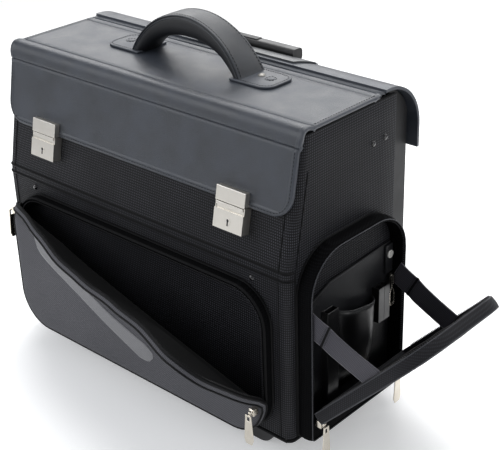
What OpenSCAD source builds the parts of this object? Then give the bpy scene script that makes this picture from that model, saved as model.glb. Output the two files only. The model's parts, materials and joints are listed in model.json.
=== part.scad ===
// Pilot's rolling flight case: a stiff-sided top-opening case on two wheels,
// with a fold-down front flap, two key locks, a front zip pocket, an end pocket
// with a drop-down tray, a padded carry handle and a two-stage trolley handle.
// Origin: on the floor under the middle of the body. +X is to the right along
// the longest side, +Y is to the back, where the wheels are, and +Z is up.

/* [Case body] */
// Length of the body, end to end
case_w = 460; // [440:5:500]
// Depth of the body, front to back
case_d = 220; // [216:2:240]
// Height of the lid's upper face above the floor
lid_z = 389; // [380:1:400]
// Height of the underside of the body above the floor
base_z = 26; // [24:1:28]
// Height at which the upright front starts to lean back
belt_z = 235; // [230:1:240]
// How far the front leans back between the belt and the lid
lean_run = 31; // [20:1:34]
// Thickness of the covered boards
board_t = 5; // [4:0.5:6]

/* [Front flap and locks] */
// Length of the front flap down the leaning front
flap_len = 95; // [84:1:96]
// Thickness of the front flap
flap_t = 4; // [3:0.5:4.5]
// Distance of each lock from the middle
lock_x = 152; // [120:1:170]
// Width of each lock
lock_w = 41; // [36:1:46]

/* [Front pocket] */
// Half width of the front pocket
pocket_x = 207; // [190:1:210]
// Height of the front pocket's upper rim
pocket_top = 213; // [206:1:216]
// Corner radius of the front pocket
pocket_r = 45; // [35:1:55]
// Depth of the front pocket's tray
pocket_depth = 8; // [6:1:10]
// Angle at which the unzipped front pocket hangs open
pocket_open = 52; // [30:1:60]

/* [End pocket] */
// Angle at which the end pocket's tray hangs open
tray_open = 43.7; // [30:0.1:50]
// Length of the tray from its hinge
tray_len = 188; // [170:1:190]
// Depth of the tray
tray_t = 15; // [12:1:18]
// How far the pocket's frame stands out from the end
frame_out = 20; // [18:1:24]

/* [Handles] */
// Height of the carry handle's crown above the floor
handle_z = 447; // [435:1:450]
// Half the span of the carry handle's feet
handle_foot = 88; // [80:1:95]
// Thickness of the carry handle
handle_t = 13; // [10:1:15]
// Distance of each trolley tube from the middle
tube_x = 66; // [60:1:68]

/* [Wheels and feet] */
// Radius of each wheel over the tyre
wheel_r = 32; // [30:1:33]
// Distance of each wheel from the middle
wheel_x = 190; // [180:1:192]
// Distance of each front foot from the middle
foot_x = 168; // [150:1:180]

/* [Hidden] */
$fn = 48;
eps = 0.01;
gap = 0.4;             // clearance between pieces that move past each other

half_w = case_w / 2;
front_y = -case_d / 2;
back_y = case_d / 2;
lean = atan(lean_run / (lid_z - belt_z));
lid_t = 5;
board_top = lid_z - lid_t;
seam_y = 45;          // rear edge of the lid board
strip_w = 8;          // width of the leather hinge strip
cover_y = seam_y + strip_w;
end_back = 72;        // rear edge of the end boards
recess = 12;          // how far the trolley housing is set in from the ends
cover_r = 58;         // outer radius of the rear cover
cover_t = 3.5;
cover_cy = 59;        // centre of the rear cover's curve
cover_cz = 334;
cover_low = 307;      // lower edge of the rear cover

// Points on the front, in a frame that lies in the leaning face: X along the
// case, -Y out of the face and Z up the face, from the belt line.
module on_lean() {
    translate([0, front_y, belt_z]) rotate([-lean, 0, 0]) children();
}

// A rectangle whose upper corners are rounded, standing on the X axis.
module arch_2d(w, h, r) {
    intersection() {
        union() {
            translate([-w / 2, 0]) square([w, h - r]);
            translate([-w / 2 + r, 0]) square([w - 2 * r, h]);
            for (s = [-1, 1]) translate([s * (w / 2 - r), h - r]) circle(r, $fn = 96);
        }
        translate([-w / 2, 0]) square([w, h]);
    }
}

// A rectangle with all corners rounded, centred on the origin.
module round_2d(w, h, r) {
    square([w - 2 * r, h], center = true);
    square([w, h - 2 * r], center = true);
    for (sx = [-1, 1], sy = [-1, 1])
        translate([sx * (w / 2 - r), sy * (h / 2 - r)]) circle(r);
}

// A flat outline drawn as X and Z, given a thickness from y0 to y1.
module stand(y0, y1) {
    translate([0, y1, 0]) rotate([90, 0, 0]) linear_extrude(y1 - y0) children();
}

// A flat outline drawn as Y and Z, given a thickness from x0 to x1.
module side(x0, x1) {
    translate([x0, 0, 0]) rotate([90, 0, 90]) linear_extrude(x1 - x0) children();
}

// The end pocket: a frame on the right end, and a tray hinged near its foot.
end_front = -96;
end_rear = 70;
end_mid = (end_front + end_rear) / 2;
end_wide = end_rear - end_front;
frame_low = base_z + 5;
hinge_z = base_z + 43;
frame_top = hinge_z + tray_len;
mouth_x = half_w + frame_out;
soft_t = 3;

// ---------- boards ----------
module base_board() {
    well_w = 42;
    color([0.1, 0.1, 0.1]) difference() {
        union() {
            translate([-half_w + board_t, front_y, base_z])
                cube([case_w - 2 * board_t, end_back - front_y, 6]);
            translate([-half_w + recess, end_back, base_z])
                cube([case_w - 2 * recess, back_y - end_back, 6]);
        }
        for (s = [-1, 1])
            translate([s * wheel_x - well_w / 2, 44, base_z - 1])
                cube([well_w, back_y - 43, 8]);
    }
}

module front_board() {
    color([0.17, 0.17, 0.18]) side(-half_w + board_t, half_w - board_t) polygon([
        [front_y, base_z + 6],
        [front_y, belt_z],
        [front_y + (board_top - belt_z) * tan(lean), board_top],
        [front_y + (board_top - belt_z) * tan(lean) + board_t, board_top],
        [front_y + board_t, belt_z],
        [front_y + board_t, base_z + 6]
    ]);
}

module end_board(x0) {
    corner = 12;
    color([0.17, 0.17, 0.18]) side(x0, x0 + board_t) difference() {
        polygon([
            [front_y, base_z],
            [front_y, belt_z],
            [front_y + (board_top - belt_z) * tan(lean), board_top],
            [end_back, board_top],
            [end_back, base_z]
        ]);
        translate([end_back - corner, board_top - corner]) difference() {
            square(corner + 1);
            circle(corner);
        }
    }
}

module end_board_left() { end_board(-half_w); }
module end_board_right() { end_board(half_w - board_t); }

// The outline of the space under the rear cover, in Y and Z.
module under_cover_2d(inset) {
    r = cover_r - cover_t - 0.5 - inset;
    intersection() {
        union() {
            translate([cover_cy, cover_cz]) circle(r, $fn = 128);
            translate([end_back - 30, base_z]) square([cover_r + 30, cover_cz - base_z]);
        }
        translate([end_back, base_z + 6]) square([back_y - end_back - inset, 400]);
    }
}

module rear_housing() {
    wall = 4;
    color([0.05, 0.05, 0.05]) difference() {
        side(-half_w + recess, half_w - recess) under_cover_2d(0);
        side(-half_w + recess + wall, half_w - recess - wall) translate([-wall, -wall])
            under_cover_2d(0);
        translate([-116, end_back - 1, 330]) cube([232, 60, 80]);
        for (s = [-1, 1])
            translate([s * wheel_x - 21, end_back - 1, base_z])
                cube([42, 60, 46]);
    }
}

module cover_2d(r) {
    translate([cover_cy, cover_cz]) circle(r, $fn = 128);
    translate([0, cover_cz]) square([cover_cy, r]);
    translate([0, cover_low]) square([cover_cy + r, cover_cz - cover_low]);
}

module rear_cover() {
    color([0.3, 0.3, 0.31]) difference() {
        side(-half_w, half_w) intersection() {
            difference() {
                cover_2d(cover_r);
                cover_2d(cover_r - cover_t);
            }
            translate([cover_y, cover_low]) square([200, 200]);
        }
        translate([0, 0, 340]) linear_extrude(80) bezel_2d(0);
    }
}

module false_back() {
    color([0.08, 0.08, 0.09]) difference() {
        translate([-half_w + board_t, end_back - 6, base_z + 6])
            cube([case_w - 2 * board_t, 5, board_top - base_z - 8]);
        for (s = [-1, 1])
            translate([s * wheel_x - 21, end_back - 10, base_z]) cube([42, 20, 46]);
    }
}

module hinge_strip() {
    color([0.28, 0.28, 0.29])
        translate([-half_w + 1, seam_y + 0.5, lid_z - 4]) cube([case_w - 2, strip_w - 1, 3]);
}

module body_rivets() {
    color([0.1, 0.1, 0.1]) {
        for (s = [-1, 1]) {
            translate([s * 180, front_y, pocket_top + 7]) rotate([90, 0, 0]) cylinder(h = 2, r = 3.5);
            translate([s * half_w, 32, 338]) rotate([0, s * 90, 0]) cylinder(h = 2, r = 3.5);
            translate([s * half_w, 53, 339]) rotate([0, s * 90, 0]) cylinder(h = 2, r = 3.5);
        }
    }
}

// ---------- lid and carry handle ----------
handle_y = 3;
handle_rise = handle_z - lid_z;
handle_r = (handle_foot * handle_foot + handle_rise * handle_rise) / (2 * handle_rise);
tab_t = 3;

module lid_board() {
    color([0.42, 0.43, 0.44]) side(-half_w, half_w) polygon([
        [front_y + lean_run + 1, board_top + 0.3],
        [front_y + lean_run + 1, lid_z],
        [seam_y, lid_z],
        [seam_y, board_top + 0.3]
    ]);
}

module carry_handle() {
    half_y = 19;
    color([0.2, 0.2, 0.21]) translate([0, handle_y + half_y, handle_z - handle_r])
        rotate([90, 0, 0]) linear_extrude(2 * half_y) difference() {
            circle(handle_r, $fn = 160);
            circle(handle_r - handle_t, $fn = 160);
            translate([-200, -400 + lid_z + tab_t - (handle_z - handle_r)]) square([400, 400]);
        }
}

module tab_2d() {
    polygon([[62, -24], [112, -24], [124, -18], [130, -8], [130, 8], [124, 18], [112, 24], [62, 24]]);
}

module handle_tabs() {
    color([0.3, 0.3, 0.31]) translate([0, handle_y, lid_z]) linear_extrude(tab_t) {
        tab_2d();
        mirror([1, 0]) tab_2d();
    }
}

module handle_rivets() {
    color([0.8, 0.8, 0.8]) for (s = [-1, 1]) {
        translate([s * 96, handle_y + 4, lid_z + tab_t]) cylinder(h = 1.6, r = 4.2);
        translate([s * 112, handle_y + 2, lid_z + tab_t]) cylinder(h = 0.8, r = 6);
    }
}

// ---------- front flap ----------
slope_len = (lid_z - belt_z) / cos(lean);
flap_gap = 0.5;
hinge_drop = 3;

module flap_board() {
    w = 2 * (half_w - 3);
    color([0.32, 0.34, 0.36]) on_lean()
        translate([0, 0, slope_len - hinge_drop]) mirror([0, 0, 1])
            stand(-flap_gap - flap_t, -flap_gap) arch_2d(w, flap_len - hinge_drop, 25);
}

flap_low = slope_len - flap_len;    // lower edge of the flap, up the leaning face
face_out = 12;                      // how far each lock stands out of the face
lock_h = 46;                        // height of a lock with its hasp plate
hasp_h = 16.5;
hasp_low = flap_low - 1;
body_low = hasp_low + hasp_h - lock_h;
body_top = hasp_low - 0.4;
band_h = 7.6;                       // visible height of each lock's slider
slide_wide = lock_w - 3.6;
plug_up = 10;                       // height of the plug's centre above the lock's foot
plug_r = 4;

module hasp_plates() {
    color([0.85, 0.84, 0.82]) on_lean() for (s = [-1, 1])
        translate([s * lock_x - lock_w / 2, -face_out, hasp_low])
            cube([lock_w, face_out - flap_gap - flap_t, hasp_h]);
}

// Each lock: a hollow body, open at the top for its slider, with a bore for the plug.
module lock_body(s) {
    floor_z = body_low + plug_up + plug_r + 0.4;
    color([0.85, 0.84, 0.82]) on_lean() translate([s * lock_x, 0, 0]) difference() {
        translate([-lock_w / 2, -face_out, body_low])
            cube([lock_w, face_out - 0.2, body_top - body_low]);
        translate([-lock_w / 2 + 1.5, -face_out + 1.4, floor_z]) cube([lock_w - 3, 4.2, 40]);
        translate([-lock_w, -face_out - 1, body_top - band_h]) cube([2 * lock_w, 2.4 + eps, 20]);
        translate([0, -face_out - 1, body_low + plug_up]) rotate([-90, 0, 0])
            cylinder(h = 9, r = plug_r + 0.05);
    }
}

module lock_body_left() { lock_body(-1); }
module lock_body_right() { lock_body(1); }

// A sprung plate with a raised thumb ridge along its upper edge.
module lock_slider(s) {
    hidden = 3;
    ridge = 3.8;
    color([0.88, 0.87, 0.85]) on_lean() translate([s * lock_x - slide_wide / 2, 0, 0]) {
        translate([0, -face_out + 1.6, body_top - band_h - hidden])
            cube([slide_wide, 1.6, band_h + hidden - 0.3]);
        translate([0, -face_out + 0.2, body_top - ridge])
            cube([slide_wide, 1.6, ridge - 0.3]);
    }
}

module lock_slider_left() { lock_slider(-1); }
module lock_slider_right() { lock_slider(1); }

module key_plug(s) {
    color([0.8, 0.79, 0.77]) on_lean()
        translate([s * lock_x, -face_out - 0.3, body_low + plug_up])
            rotate([-90, 0, 0]) difference() {
                cylinder(h = 8, r = plug_r);
                translate([-0.7, -2.6, -1]) cube([1.4, 5.2, 5]);
            }
}

module key_plug_left() { key_plug(-1); }
module key_plug_right() { key_plug(1); }

// ---------- front pocket ----------
rim_out = 12;
rim_low = base_z + 5;
face_y = front_y - rim_out - pocket_depth;   // outer face of the pocket's tray
tray_back = front_y - rim_out - 0.2;
shell_t = 3;
fold_a = [-pocket_x, pocket_top - 17];       // the fold runs from slider to slider
fold_b = [pocket_x, base_z + 50];
fold_dir = (fold_b - fold_a) / norm(fold_b - fold_a);

module pocket_2d(inset) {
    r = pocket_r - inset;
    translate([0, (rim_low + pocket_top) / 2])
        round_2d(2 * (pocket_x - inset), pocket_top - rim_low - 2 * inset, r);
}

module front_pocket_rim() {
    color([0.12, 0.12, 0.12]) stand(front_y - rim_out, front_y) difference() {
        pocket_2d(0);
        pocket_2d(4);
    }
}

// The part of the closed pocket's tray on one side of the fold, set back by a gap.
module pocket_tray(side_sign) {
    angle = atan2(fold_dir[1], fold_dir[0]);
    intersection() {
        difference() {
            stand(face_y, tray_back) pocket_2d(0);
            stand(face_y + shell_t, tray_back + 1) pocket_2d(shell_t);
        }
        stand(face_y - 1, tray_back + 1)
            translate(fold_a) rotate(angle)
                translate([-100, side_sign > 0 ? 1.2 : -601.2]) square([700, 600]);
    }
}

module front_pocket_panel() {
    color([0.25, 0.25, 0.26]) pocket_tray(-1);
}

module front_pocket_flap() {
    pivot = [fold_a[0], face_y + shell_t / 2, fold_a[1]];
    color([0.28, 0.28, 0.29]) translate(pivot)
        rotate(a = pocket_open, v = [fold_dir[0], 0, fold_dir[1]]) translate(-pivot)
            pocket_tray(1);
}

// ---------- zip sliders and pulls ----------
pull_len = 36;

// A slider body with a bail that the pull hangs from, at the origin.
module zip_slider() {
    translate([-3.5, -4, -5]) cube([7, 8, 9]);
    translate([-1.5, -7.5, -1]) cube([3, 3.5 + eps, 3]);
}

// A flat tapered pull that hangs from the origin, with a window near its top.
module zip_pull(w_top, w_low) {
    stand(-0.8, 0.8) difference() {
        polygon([
            [-w_top / 2, 2.5], [w_top / 2, 2.5], [w_low / 2, -pull_len + 6],
            [w_low / 2 - 2, -pull_len], [-w_low / 2 + 2, -pull_len], [-w_low / 2, -pull_len + 6]
        ]);
        translate([-w_top / 4, -5]) square([w_top / 2, 5]);
    }
}

front_slider_l = [-pocket_x - 4, front_y - rim_out, fold_a[1] - 12];
front_slider_r = [pocket_x - 8, face_y - 4, fold_b[1] - 4];

end_slider_f = [mouth_x + 4.2, end_front + 8, hinge_z - 13];
end_slider_r = [mouth_x + 4.2, end_rear - 27, hinge_z - 13];

module front_zip_sliders() {
    color([0.8, 0.79, 0.77]) {
        translate(front_slider_l) rotate([0, 0, -90]) zip_slider();
        translate(front_slider_r) zip_slider();
    }
}

// Where a pull's pin lies, out from its slider's middle.
pull_out = 8.6;
pull_up = -3.6;

module front_pull_left() {
    color([0.87, 0.86, 0.83]) translate(front_slider_l + [-pull_out, 0, pull_up])
        rotate([0, 0, 90]) zip_pull(8, 13);
}

module front_pull_right() {
    color([0.87, 0.86, 0.83]) translate(front_slider_r + [0, -pull_out, pull_up])
        zip_pull(8, 13);
}

module end_zip_sliders() {
    color([0.8, 0.79, 0.77]) {
        translate(end_slider_f) rotate([0, 0, 90]) zip_slider();
        translate(end_slider_r) rotate([0, 0, 90]) zip_slider();
    }
}

module end_pull_front() {
    color([0.87, 0.86, 0.83]) translate(end_slider_f + [pull_out, 0, pull_up])
        rotate([0, 0, 90]) zip_pull(8, 13);
}

module end_pull_rear() {
    color([0.87, 0.86, 0.83]) translate(end_slider_r + [pull_out, 0, pull_up])
        rotate([0, 0, 90]) zip_pull(8, 13);
}

// ---------- end pocket ----------
module frame_2d(inset) {
    translate([end_mid, frame_low + inset])
        arch_2d(end_wide - 2 * inset, frame_top - frame_low - 2 * inset, 50 - inset);
}

module end_pocket_frame() {
    color([0.1, 0.1, 0.1]) {
        side(half_w, mouth_x) difference() {
            frame_2d(0);
            frame_2d(soft_t);
        }
        translate([mouth_x - soft_t, end_front + soft_t, frame_low + soft_t])
            cube([soft_t, end_wide - 2 * soft_t, hinge_z - 4 - frame_low - soft_t]);
    }
}

// Places children drawn as if the tray were shut: x out, z up from the hinge.
module on_tray() {
    translate([mouth_x, 0, hinge_z]) rotate([0, tray_open, 0]) children();
}

module end_pocket_tray() {
    color([0.2, 0.2, 0.21]) on_tray() difference() {
        side(gap, tray_t) translate([end_mid, 0]) arch_2d(end_wide, tray_len, 50);
        side(-1, tray_t - soft_t) translate([end_mid, soft_t])
            arch_2d(end_wide - 2 * soft_t, tray_len - 2 * soft_t, 50 - soft_t);
    }
}

module tray_inner_pocket() {
    side_gap = 3;      // leaves room for the straps along the tray's side walls
    color([0.1, 0.1, 0.1]) on_tray()
        translate([4, end_front + soft_t + side_gap, soft_t + 0.3])
            cube([1.2, end_wide - 2 * soft_t - 2 * side_gap, 96]);
}

// A webbing strap from the frame's side wall to the tray's side wall.
module strap(y, top, reach) {
    foot = [mouth_x + reach * sin(tray_open), hinge_z + reach * cos(tray_open)];
    head = [mouth_x - 10, top];
    run = (foot - head) / norm(foot - head);
    nrm = [-run[1], run[0]];
    wide = 14;
    end = foot + run * 5;
    color([0.25, 0.24, 0.28]) stand(y, y + 1.6)
        polygon([head + nrm * wide, end + nrm * wide, end - nrm * wide, head - nrm * wide]);
}

module strap_front() { strap(end_front + soft_t + 0.4, 182, 109); }
module strap_rear() { strap(end_rear - soft_t - 2, 174, 92); }

module organiser_panel() {
    color([0.08, 0.08, 0.08]) translate([half_w, -84, frame_low + soft_t + 2])
        cube([2, 148, 174]);
}

module phone_pocket() {
    color([0.14, 0.14, 0.14]) difference() {
        translate([half_w + 2, -34, 62]) side(0, 15) translate([31, 0])
            polygon([[-31, 0], [31, 0], [35, 92], [-35, 104]]);
        translate([half_w + 3.2, -34, 64]) side(0, 12) translate([31, 0])
            polygon([[-29, 0], [29, 0], [33.4, 140], [-33.4, 140]]);
    }
}

module slim_pocket() {
    color([0.12, 0.12, 0.12]) difference() {
        translate([half_w + 2, -58, 62]) cube([9, 19, 112]);
        translate([half_w + 3.2, -56.5, 64]) cube([6.3, 16, 140]);
    }
}

module pen_loops() {
    color([0.12, 0.12, 0.12]) for (y = [37.2, 47.6]) translate([half_w + 2, y, 120])
        difference() {
            translate([0, -5, 0]) cube([10, 10, 44]);
            translate([5.2, 0, -1]) cylinder(h = 60, r = 3.8);
        }
}

hook_y = 60;
hook_x = half_w + 9;

module key_tab() {
    color([0.1, 0.1, 0.1]) translate([half_w + 2, hook_y - 6.5, 172]) cube([3, 13, 36]);
}

module snap_stud() {
    color([0.92, 0.92, 0.92]) translate([half_w + 5, hook_y, 196])
        rotate([0, 90, 0]) cylinder(h = 2, r = 5);
}

// A swivel snap hook: a barrel, a neck and a slim oval ring.
module key_hook() {
    ring_r = 5.5;
    wire = 2.2;
    color([0.8, 0.8, 0.8]) translate([hook_x, hook_y, 0]) {
        translate([0, 0, 160]) cylinder(h = 11.6, r = 3);
        side(-1.25, 1.25) translate([0, 148]) difference() {
            union() {
                circle(ring_r);
                translate([-ring_r, -12]) square([2 * ring_r, 12]);
                translate([0, -12]) circle(ring_r);
                translate([-2, 4]) square([4, 9]);
            }
            circle(ring_r - wire);
            translate([-ring_r + wire, -12]) square([2 * (ring_r - wire), 12]);
            translate([0, -12]) circle(ring_r - wire);
        }
    }
}

// ---------- trolley handle ----------
tube_y = 87;
housing_low = base_z + 6;
sleeve_r = 10.8;
sleeve_in = 9.4;
mid_r = 9;
mid_in = 7.9;
in_r = 7.5;
in_bore = 6.2;
rod_r = 2.5;
sleeve_top = 358;
grip_low = 383;
grip_h = 15;
grip_half = 80;
grip_d = 17;

module bezel_2d(inset) {
    polygon([
        [-98 + inset, 58 + inset], [98 - inset, 58 + inset], [113 - inset, 80],
        [100 - inset, 102 - inset], [-100 + inset, 102 - inset], [-113 + inset, 80]
    ]);
}

module trolley_bezel() {
    color([0.45, 0.45, 0.44]) difference() {
        intersection() {
            translate([0, 0, 340]) linear_extrude(80) bezel_2d(0.3);
            side(-120, 120) difference() {
                cover_2d(cover_r + 2);
                cover_2d(cover_r - 8);
            }
        }
        translate([-grip_half - 2, tube_y - grip_d / 2 - 2, 370])
            cube([2 * grip_half + 4, grip_d + 4, 50]);
        for (s = [-1, 1])
            translate([s * tube_x, tube_y, 340]) cylinder(h = 60, r = 10);
    }
}

module outer_tubes() {
    color([0.6, 0.6, 0.62]) for (s = [-1, 1])
        translate([s * tube_x, tube_y, housing_low + 8]) difference() {
            cylinder(h = sleeve_top - housing_low - 8, r = sleeve_r);
            translate([0, 0, -1]) cylinder(h = 400, r = sleeve_in);
        }
}

module tube_bushes() {
    color([0.1, 0.1, 0.1]) for (s = [-1, 1])
        translate([s * tube_x, tube_y, sleeve_top]) difference() {
            translate([-12, -12, 0]) cube([24, 24, 5]);
            translate([0, 0, -1]) cylinder(h = 20, r = mid_r + 0.06);
        }
}

module tube_foot_blocks() {
    color([0.1, 0.1, 0.1]) for (s = [-1, 1])
        translate([s * tube_x - 14, tube_y - 14, housing_low]) cube([28, 28, 8]);
}

module middle_tubes() {
    color([0.75, 0.75, 0.76]) for (s = [-1, 1])
        translate([s * tube_x, tube_y, housing_low + 12]) difference() {
            cylinder(h = sleeve_top + 8 - housing_low - 12, r = mid_r);
            translate([0, 0, -1]) cylinder(h = 400, r = mid_in);
        }
}

module inner_tubes() {
    color([0.8, 0.8, 0.81]) for (s = [-1, 1])
        translate([s * tube_x, tube_y, housing_low + 16]) difference() {
            cylinder(h = grip_low - housing_low - 16, r = in_r);
            translate([0, 0, -1]) cylinder(h = 400, r = in_bore);
        }
}

module trolley_grip() {
    slot_w = 44;
    color([0.12, 0.12, 0.12]) difference() {
        side(-grip_half, grip_half) translate([tube_y, grip_low + grip_h / 2])
            round_2d(grip_d, grip_h, 5);
        translate([-tube_x - 6, tube_y - 5, grip_low + 4]) cube([2 * tube_x + 12, 10, 8]);
        translate([-slot_w / 2, tube_y - 5, grip_low + 8]) cube([slot_w, 10, 20]);
        for (s = [-1, 1])
            translate([s * tube_x, tube_y, grip_low - 1]) cylinder(h = 8, r = 4.5);
    }
}

module release_button() {
    color([0.25, 0.25, 0.25]) translate([-21.6, tube_y - 4.6, grip_low + 11.4])
        cube([43.2, 9.2, grip_h - 10.4]);
}

module release_rods() {
    color([0.5, 0.5, 0.52]) {
        translate([-tube_x - 5, tube_y - 4, grip_low + 8.4]) cube([2 * tube_x + 10, 8, 3]);
        for (s = [-1, 1])
            translate([s * tube_x, tube_y, housing_low + 24])
                cylinder(h = grip_low + 9 - housing_low - 24, r = rod_r);
    }
}

// ---------- wheels and feet ----------
wheel_y = 84;
wheel_z = wheel_r;
wheel_w = 24;
hub_r = 23;
axle_r = 3;
cheek_in = 15;     // half the width inside each wheel housing
cheek_t = 3;

module wheel_housings() {
    hw = cheek_in + cheek_t;
    color([0.07, 0.07, 0.07]) for (s = [-1, 1]) translate([s * wheel_x, 0, 0]) difference() {
        union() {
            translate([-hw, 46, base_z]) cube([2 * hw, back_y - 46.2, 44]);
            side(-hw, hw) translate([wheel_y, wheel_z]) circle(14);
        }
        translate([-cheek_in, 49, 0]) cube([2 * cheek_in, 100, base_z + 41]);
        translate([-60, wheel_y, wheel_z]) rotate([0, 90, 0]) cylinder(h = 120, r = axle_r + 0.02);
    }
}

module wheel_axles() {
    color([0.7, 0.7, 0.7]) for (s = [-1, 1])
        translate([s * wheel_x - cheek_in - cheek_t, wheel_y, wheel_z])
            rotate([0, 90, 0]) cylinder(h = 2 * (cheek_in + cheek_t), r = axle_r);
}

module wheel_hub(s) {
    color([0.3, 0.3, 0.3]) translate([s * wheel_x, wheel_y, wheel_z]) rotate([0, 90, 0])
        rotate_extrude($fn = 96) difference() {
            translate([axle_r + 0.06, -wheel_w / 2]) square([hub_r - axle_r - 0.06, wheel_w]);
            for (m = [-1, 1]) translate([8, m * wheel_w / 2 - 4]) square([11, 8]);
        }
}

module wheel_hub_left() { wheel_hub(-1); }
module wheel_hub_right() { wheel_hub(1); }

module wheel_tyre(s) {
    color([0.04, 0.04, 0.04]) translate([s * wheel_x, wheel_y, wheel_z]) rotate([0, 90, 0])
        rotate_extrude($fn = 96) difference() {
            translate([hub_r, -wheel_w / 2]) square([wheel_r - hub_r, wheel_w]);
            for (m = [-1, 1]) translate([wheel_r, m * wheel_w / 2]) circle(3, $fn = 4);
        }
}

module wheel_tyre_left() { wheel_tyre(-1); }
module wheel_tyre_right() { wheel_tyre(1); }

module front_feet() {
    foot_w = 52;
    foot_d = 24;
    color([0.06, 0.06, 0.06]) for (s = [-1, 1])
        translate([s * foot_x, 0, base_z]) mirror([0, 0, 1])
            stand(front_y + 12, front_y + 12 + foot_d) arch_2d(foot_w, base_z, 20);
}

base_board();
front_board();
end_board_left();
end_board_right();
rear_housing();
rear_cover();
false_back();
hinge_strip();
body_rivets();
lid_board();
carry_handle();
handle_tabs();
handle_rivets();
flap_board();
hasp_plates();
lock_body_left();
lock_body_right();
lock_slider_left();
lock_slider_right();
key_plug_left();
key_plug_right();
front_pocket_rim();
front_pocket_panel();
front_pocket_flap();
front_zip_sliders();
front_pull_left();
front_pull_right();
end_pocket_frame();
end_pocket_tray();
tray_inner_pocket();
strap_front();
strap_rear();
end_zip_sliders();
end_pull_front();
end_pull_rear();
organiser_panel();
phone_pocket();
slim_pocket();
pen_loops();
key_tab();
snap_stud();
key_hook();
trolley_bezel();
outer_tubes();
tube_bushes();
tube_foot_blocks();
middle_tubes();
inner_tubes();
trolley_grip();
release_button();
release_rods();
wheel_housings();
wheel_axles();
wheel_hub_left();
wheel_hub_right();
wheel_tyre_left();
wheel_tyre_right();
front_feet();
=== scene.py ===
import json
import math

import bmesh
import bpy
from mathutils import Matrix, Vector, noise


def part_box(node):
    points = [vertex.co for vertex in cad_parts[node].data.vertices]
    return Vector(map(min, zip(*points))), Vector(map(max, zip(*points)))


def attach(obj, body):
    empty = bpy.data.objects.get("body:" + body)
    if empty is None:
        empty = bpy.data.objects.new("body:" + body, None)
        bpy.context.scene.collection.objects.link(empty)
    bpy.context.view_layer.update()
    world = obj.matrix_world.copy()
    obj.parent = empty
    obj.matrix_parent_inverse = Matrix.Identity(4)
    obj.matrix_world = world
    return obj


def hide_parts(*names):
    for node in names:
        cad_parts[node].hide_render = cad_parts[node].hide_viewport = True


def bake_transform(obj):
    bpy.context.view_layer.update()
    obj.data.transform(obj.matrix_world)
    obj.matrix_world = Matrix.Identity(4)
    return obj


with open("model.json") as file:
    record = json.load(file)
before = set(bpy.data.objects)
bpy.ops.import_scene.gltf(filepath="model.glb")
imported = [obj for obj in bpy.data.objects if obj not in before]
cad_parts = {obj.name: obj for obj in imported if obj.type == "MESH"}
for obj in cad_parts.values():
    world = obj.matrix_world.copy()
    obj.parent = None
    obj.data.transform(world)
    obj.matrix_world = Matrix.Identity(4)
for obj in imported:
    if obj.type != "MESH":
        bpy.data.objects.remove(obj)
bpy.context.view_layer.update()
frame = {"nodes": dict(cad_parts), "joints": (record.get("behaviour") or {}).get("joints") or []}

mm = 0.001                      # all the sizes below are in millimetres
joints = {j["name"]: j for j in frame["joints"]}
scene = bpy.context.scene


# camera

cameraView = {
    "place": (909.6, -891.1, 825.0),
    "azimuth": 43.03,
    "elevation": 26.93,
    "roll": -1.9,
    "lens": 84.23,
}


def makeCamera():
    azimuth = math.radians(cameraView["azimuth"])
    elevation = math.radians(cameraView["elevation"])
    roll = math.radians(cameraView["roll"])
    back = Vector((math.sin(azimuth) * math.cos(elevation),
                   -math.cos(azimuth) * math.cos(elevation), math.sin(elevation)))
    right = Vector((math.cos(azimuth), math.sin(azimuth), 0))
    up = back.cross(right)
    rolledRight = right * math.cos(roll) + up * math.sin(roll)
    rolledUp = up * math.cos(roll) - right * math.sin(roll)
    lens = bpy.data.cameras.new("camera")
    lens.lens = cameraView["lens"]
    lens.sensor_width = 36
    camera = bpy.data.objects.new("camera", lens)
    turn = Matrix((rolledRight, rolledUp, back)).transposed().to_4x4()
    camera.matrix_world = Matrix.Translation(Vector(cameraView["place"]) * mm) @ turn
    scene.collection.objects.link(camera)
    scene.camera = camera


makeCamera()
print("camera made")


# small helpers

def boxMm(node):
    low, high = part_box(node)
    return low / mm, high / mm


def smooth(t):
    t = min(max(t, 0), 1)
    return t * t * (3 - 2 * t)


def mix(a, b, t):
    return a + (b - a) * t


def arcPoints(centre, radius, start, end, steps):
    # points on an arc, in degrees, both ends included
    angles = [math.radians(mix(start, end, i / steps)) for i in range(steps + 1)]
    return [(centre[0] + radius * math.cos(a), centre[1] + radius * math.sin(a)) for a in angles]


def spaced(points, step, closed=False):
    # even steps along a route, as (place, direction)
    route = [Vector(p) for p in points]
    if closed:
        route.append(route[0])
    found, left = [], step / 2
    for a, b in zip(route, route[1:]):
        span = (b - a).length
        if span < 1e-6:
            continue
        way = (b - a) / span
        while left <= span:
            found.append((a + way * left, way))
            left += step
        left -= span
    return found


def gridOf(rows, withLengths=False):
    # a grid whose corners lie at rows[j][i]; its cloth map, if wanted, runs in metres
    bm = bmesh.new()
    across, along = len(rows[0]) - 1, len(rows) - 1
    bmesh.ops.create_grid(bm, x_segments=across, y_segments=along, size=1)
    corners = {v: (round((v.co.x + 1) / 2 * across), round((v.co.y + 1) / 2 * along)) for v in bm.verts}
    if withLengths:
        uv = bm.loops.layers.uv.new("cloth")
        sideways = runningLengths(rows[0])
        lengthways = runningLengths([row[len(row) // 2] for row in rows])
        for face in bm.faces:
            for loop in face.loops:
                i, j = corners[loop.vert]
                loop[uv].uv = (sideways[i], lengthways[j])
    for v, (i, j) in corners.items():
        v.co = rows[j][i]
    return bm


def runningLengths(points):
    # how far along a line each of its points lies, in metres
    lengths = [0.0]
    for a, b in zip(points, points[1:]):
        lengths.append(lengths[-1] + (Vector(b) - Vector(a)).length * mm)
    return lengths


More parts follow.
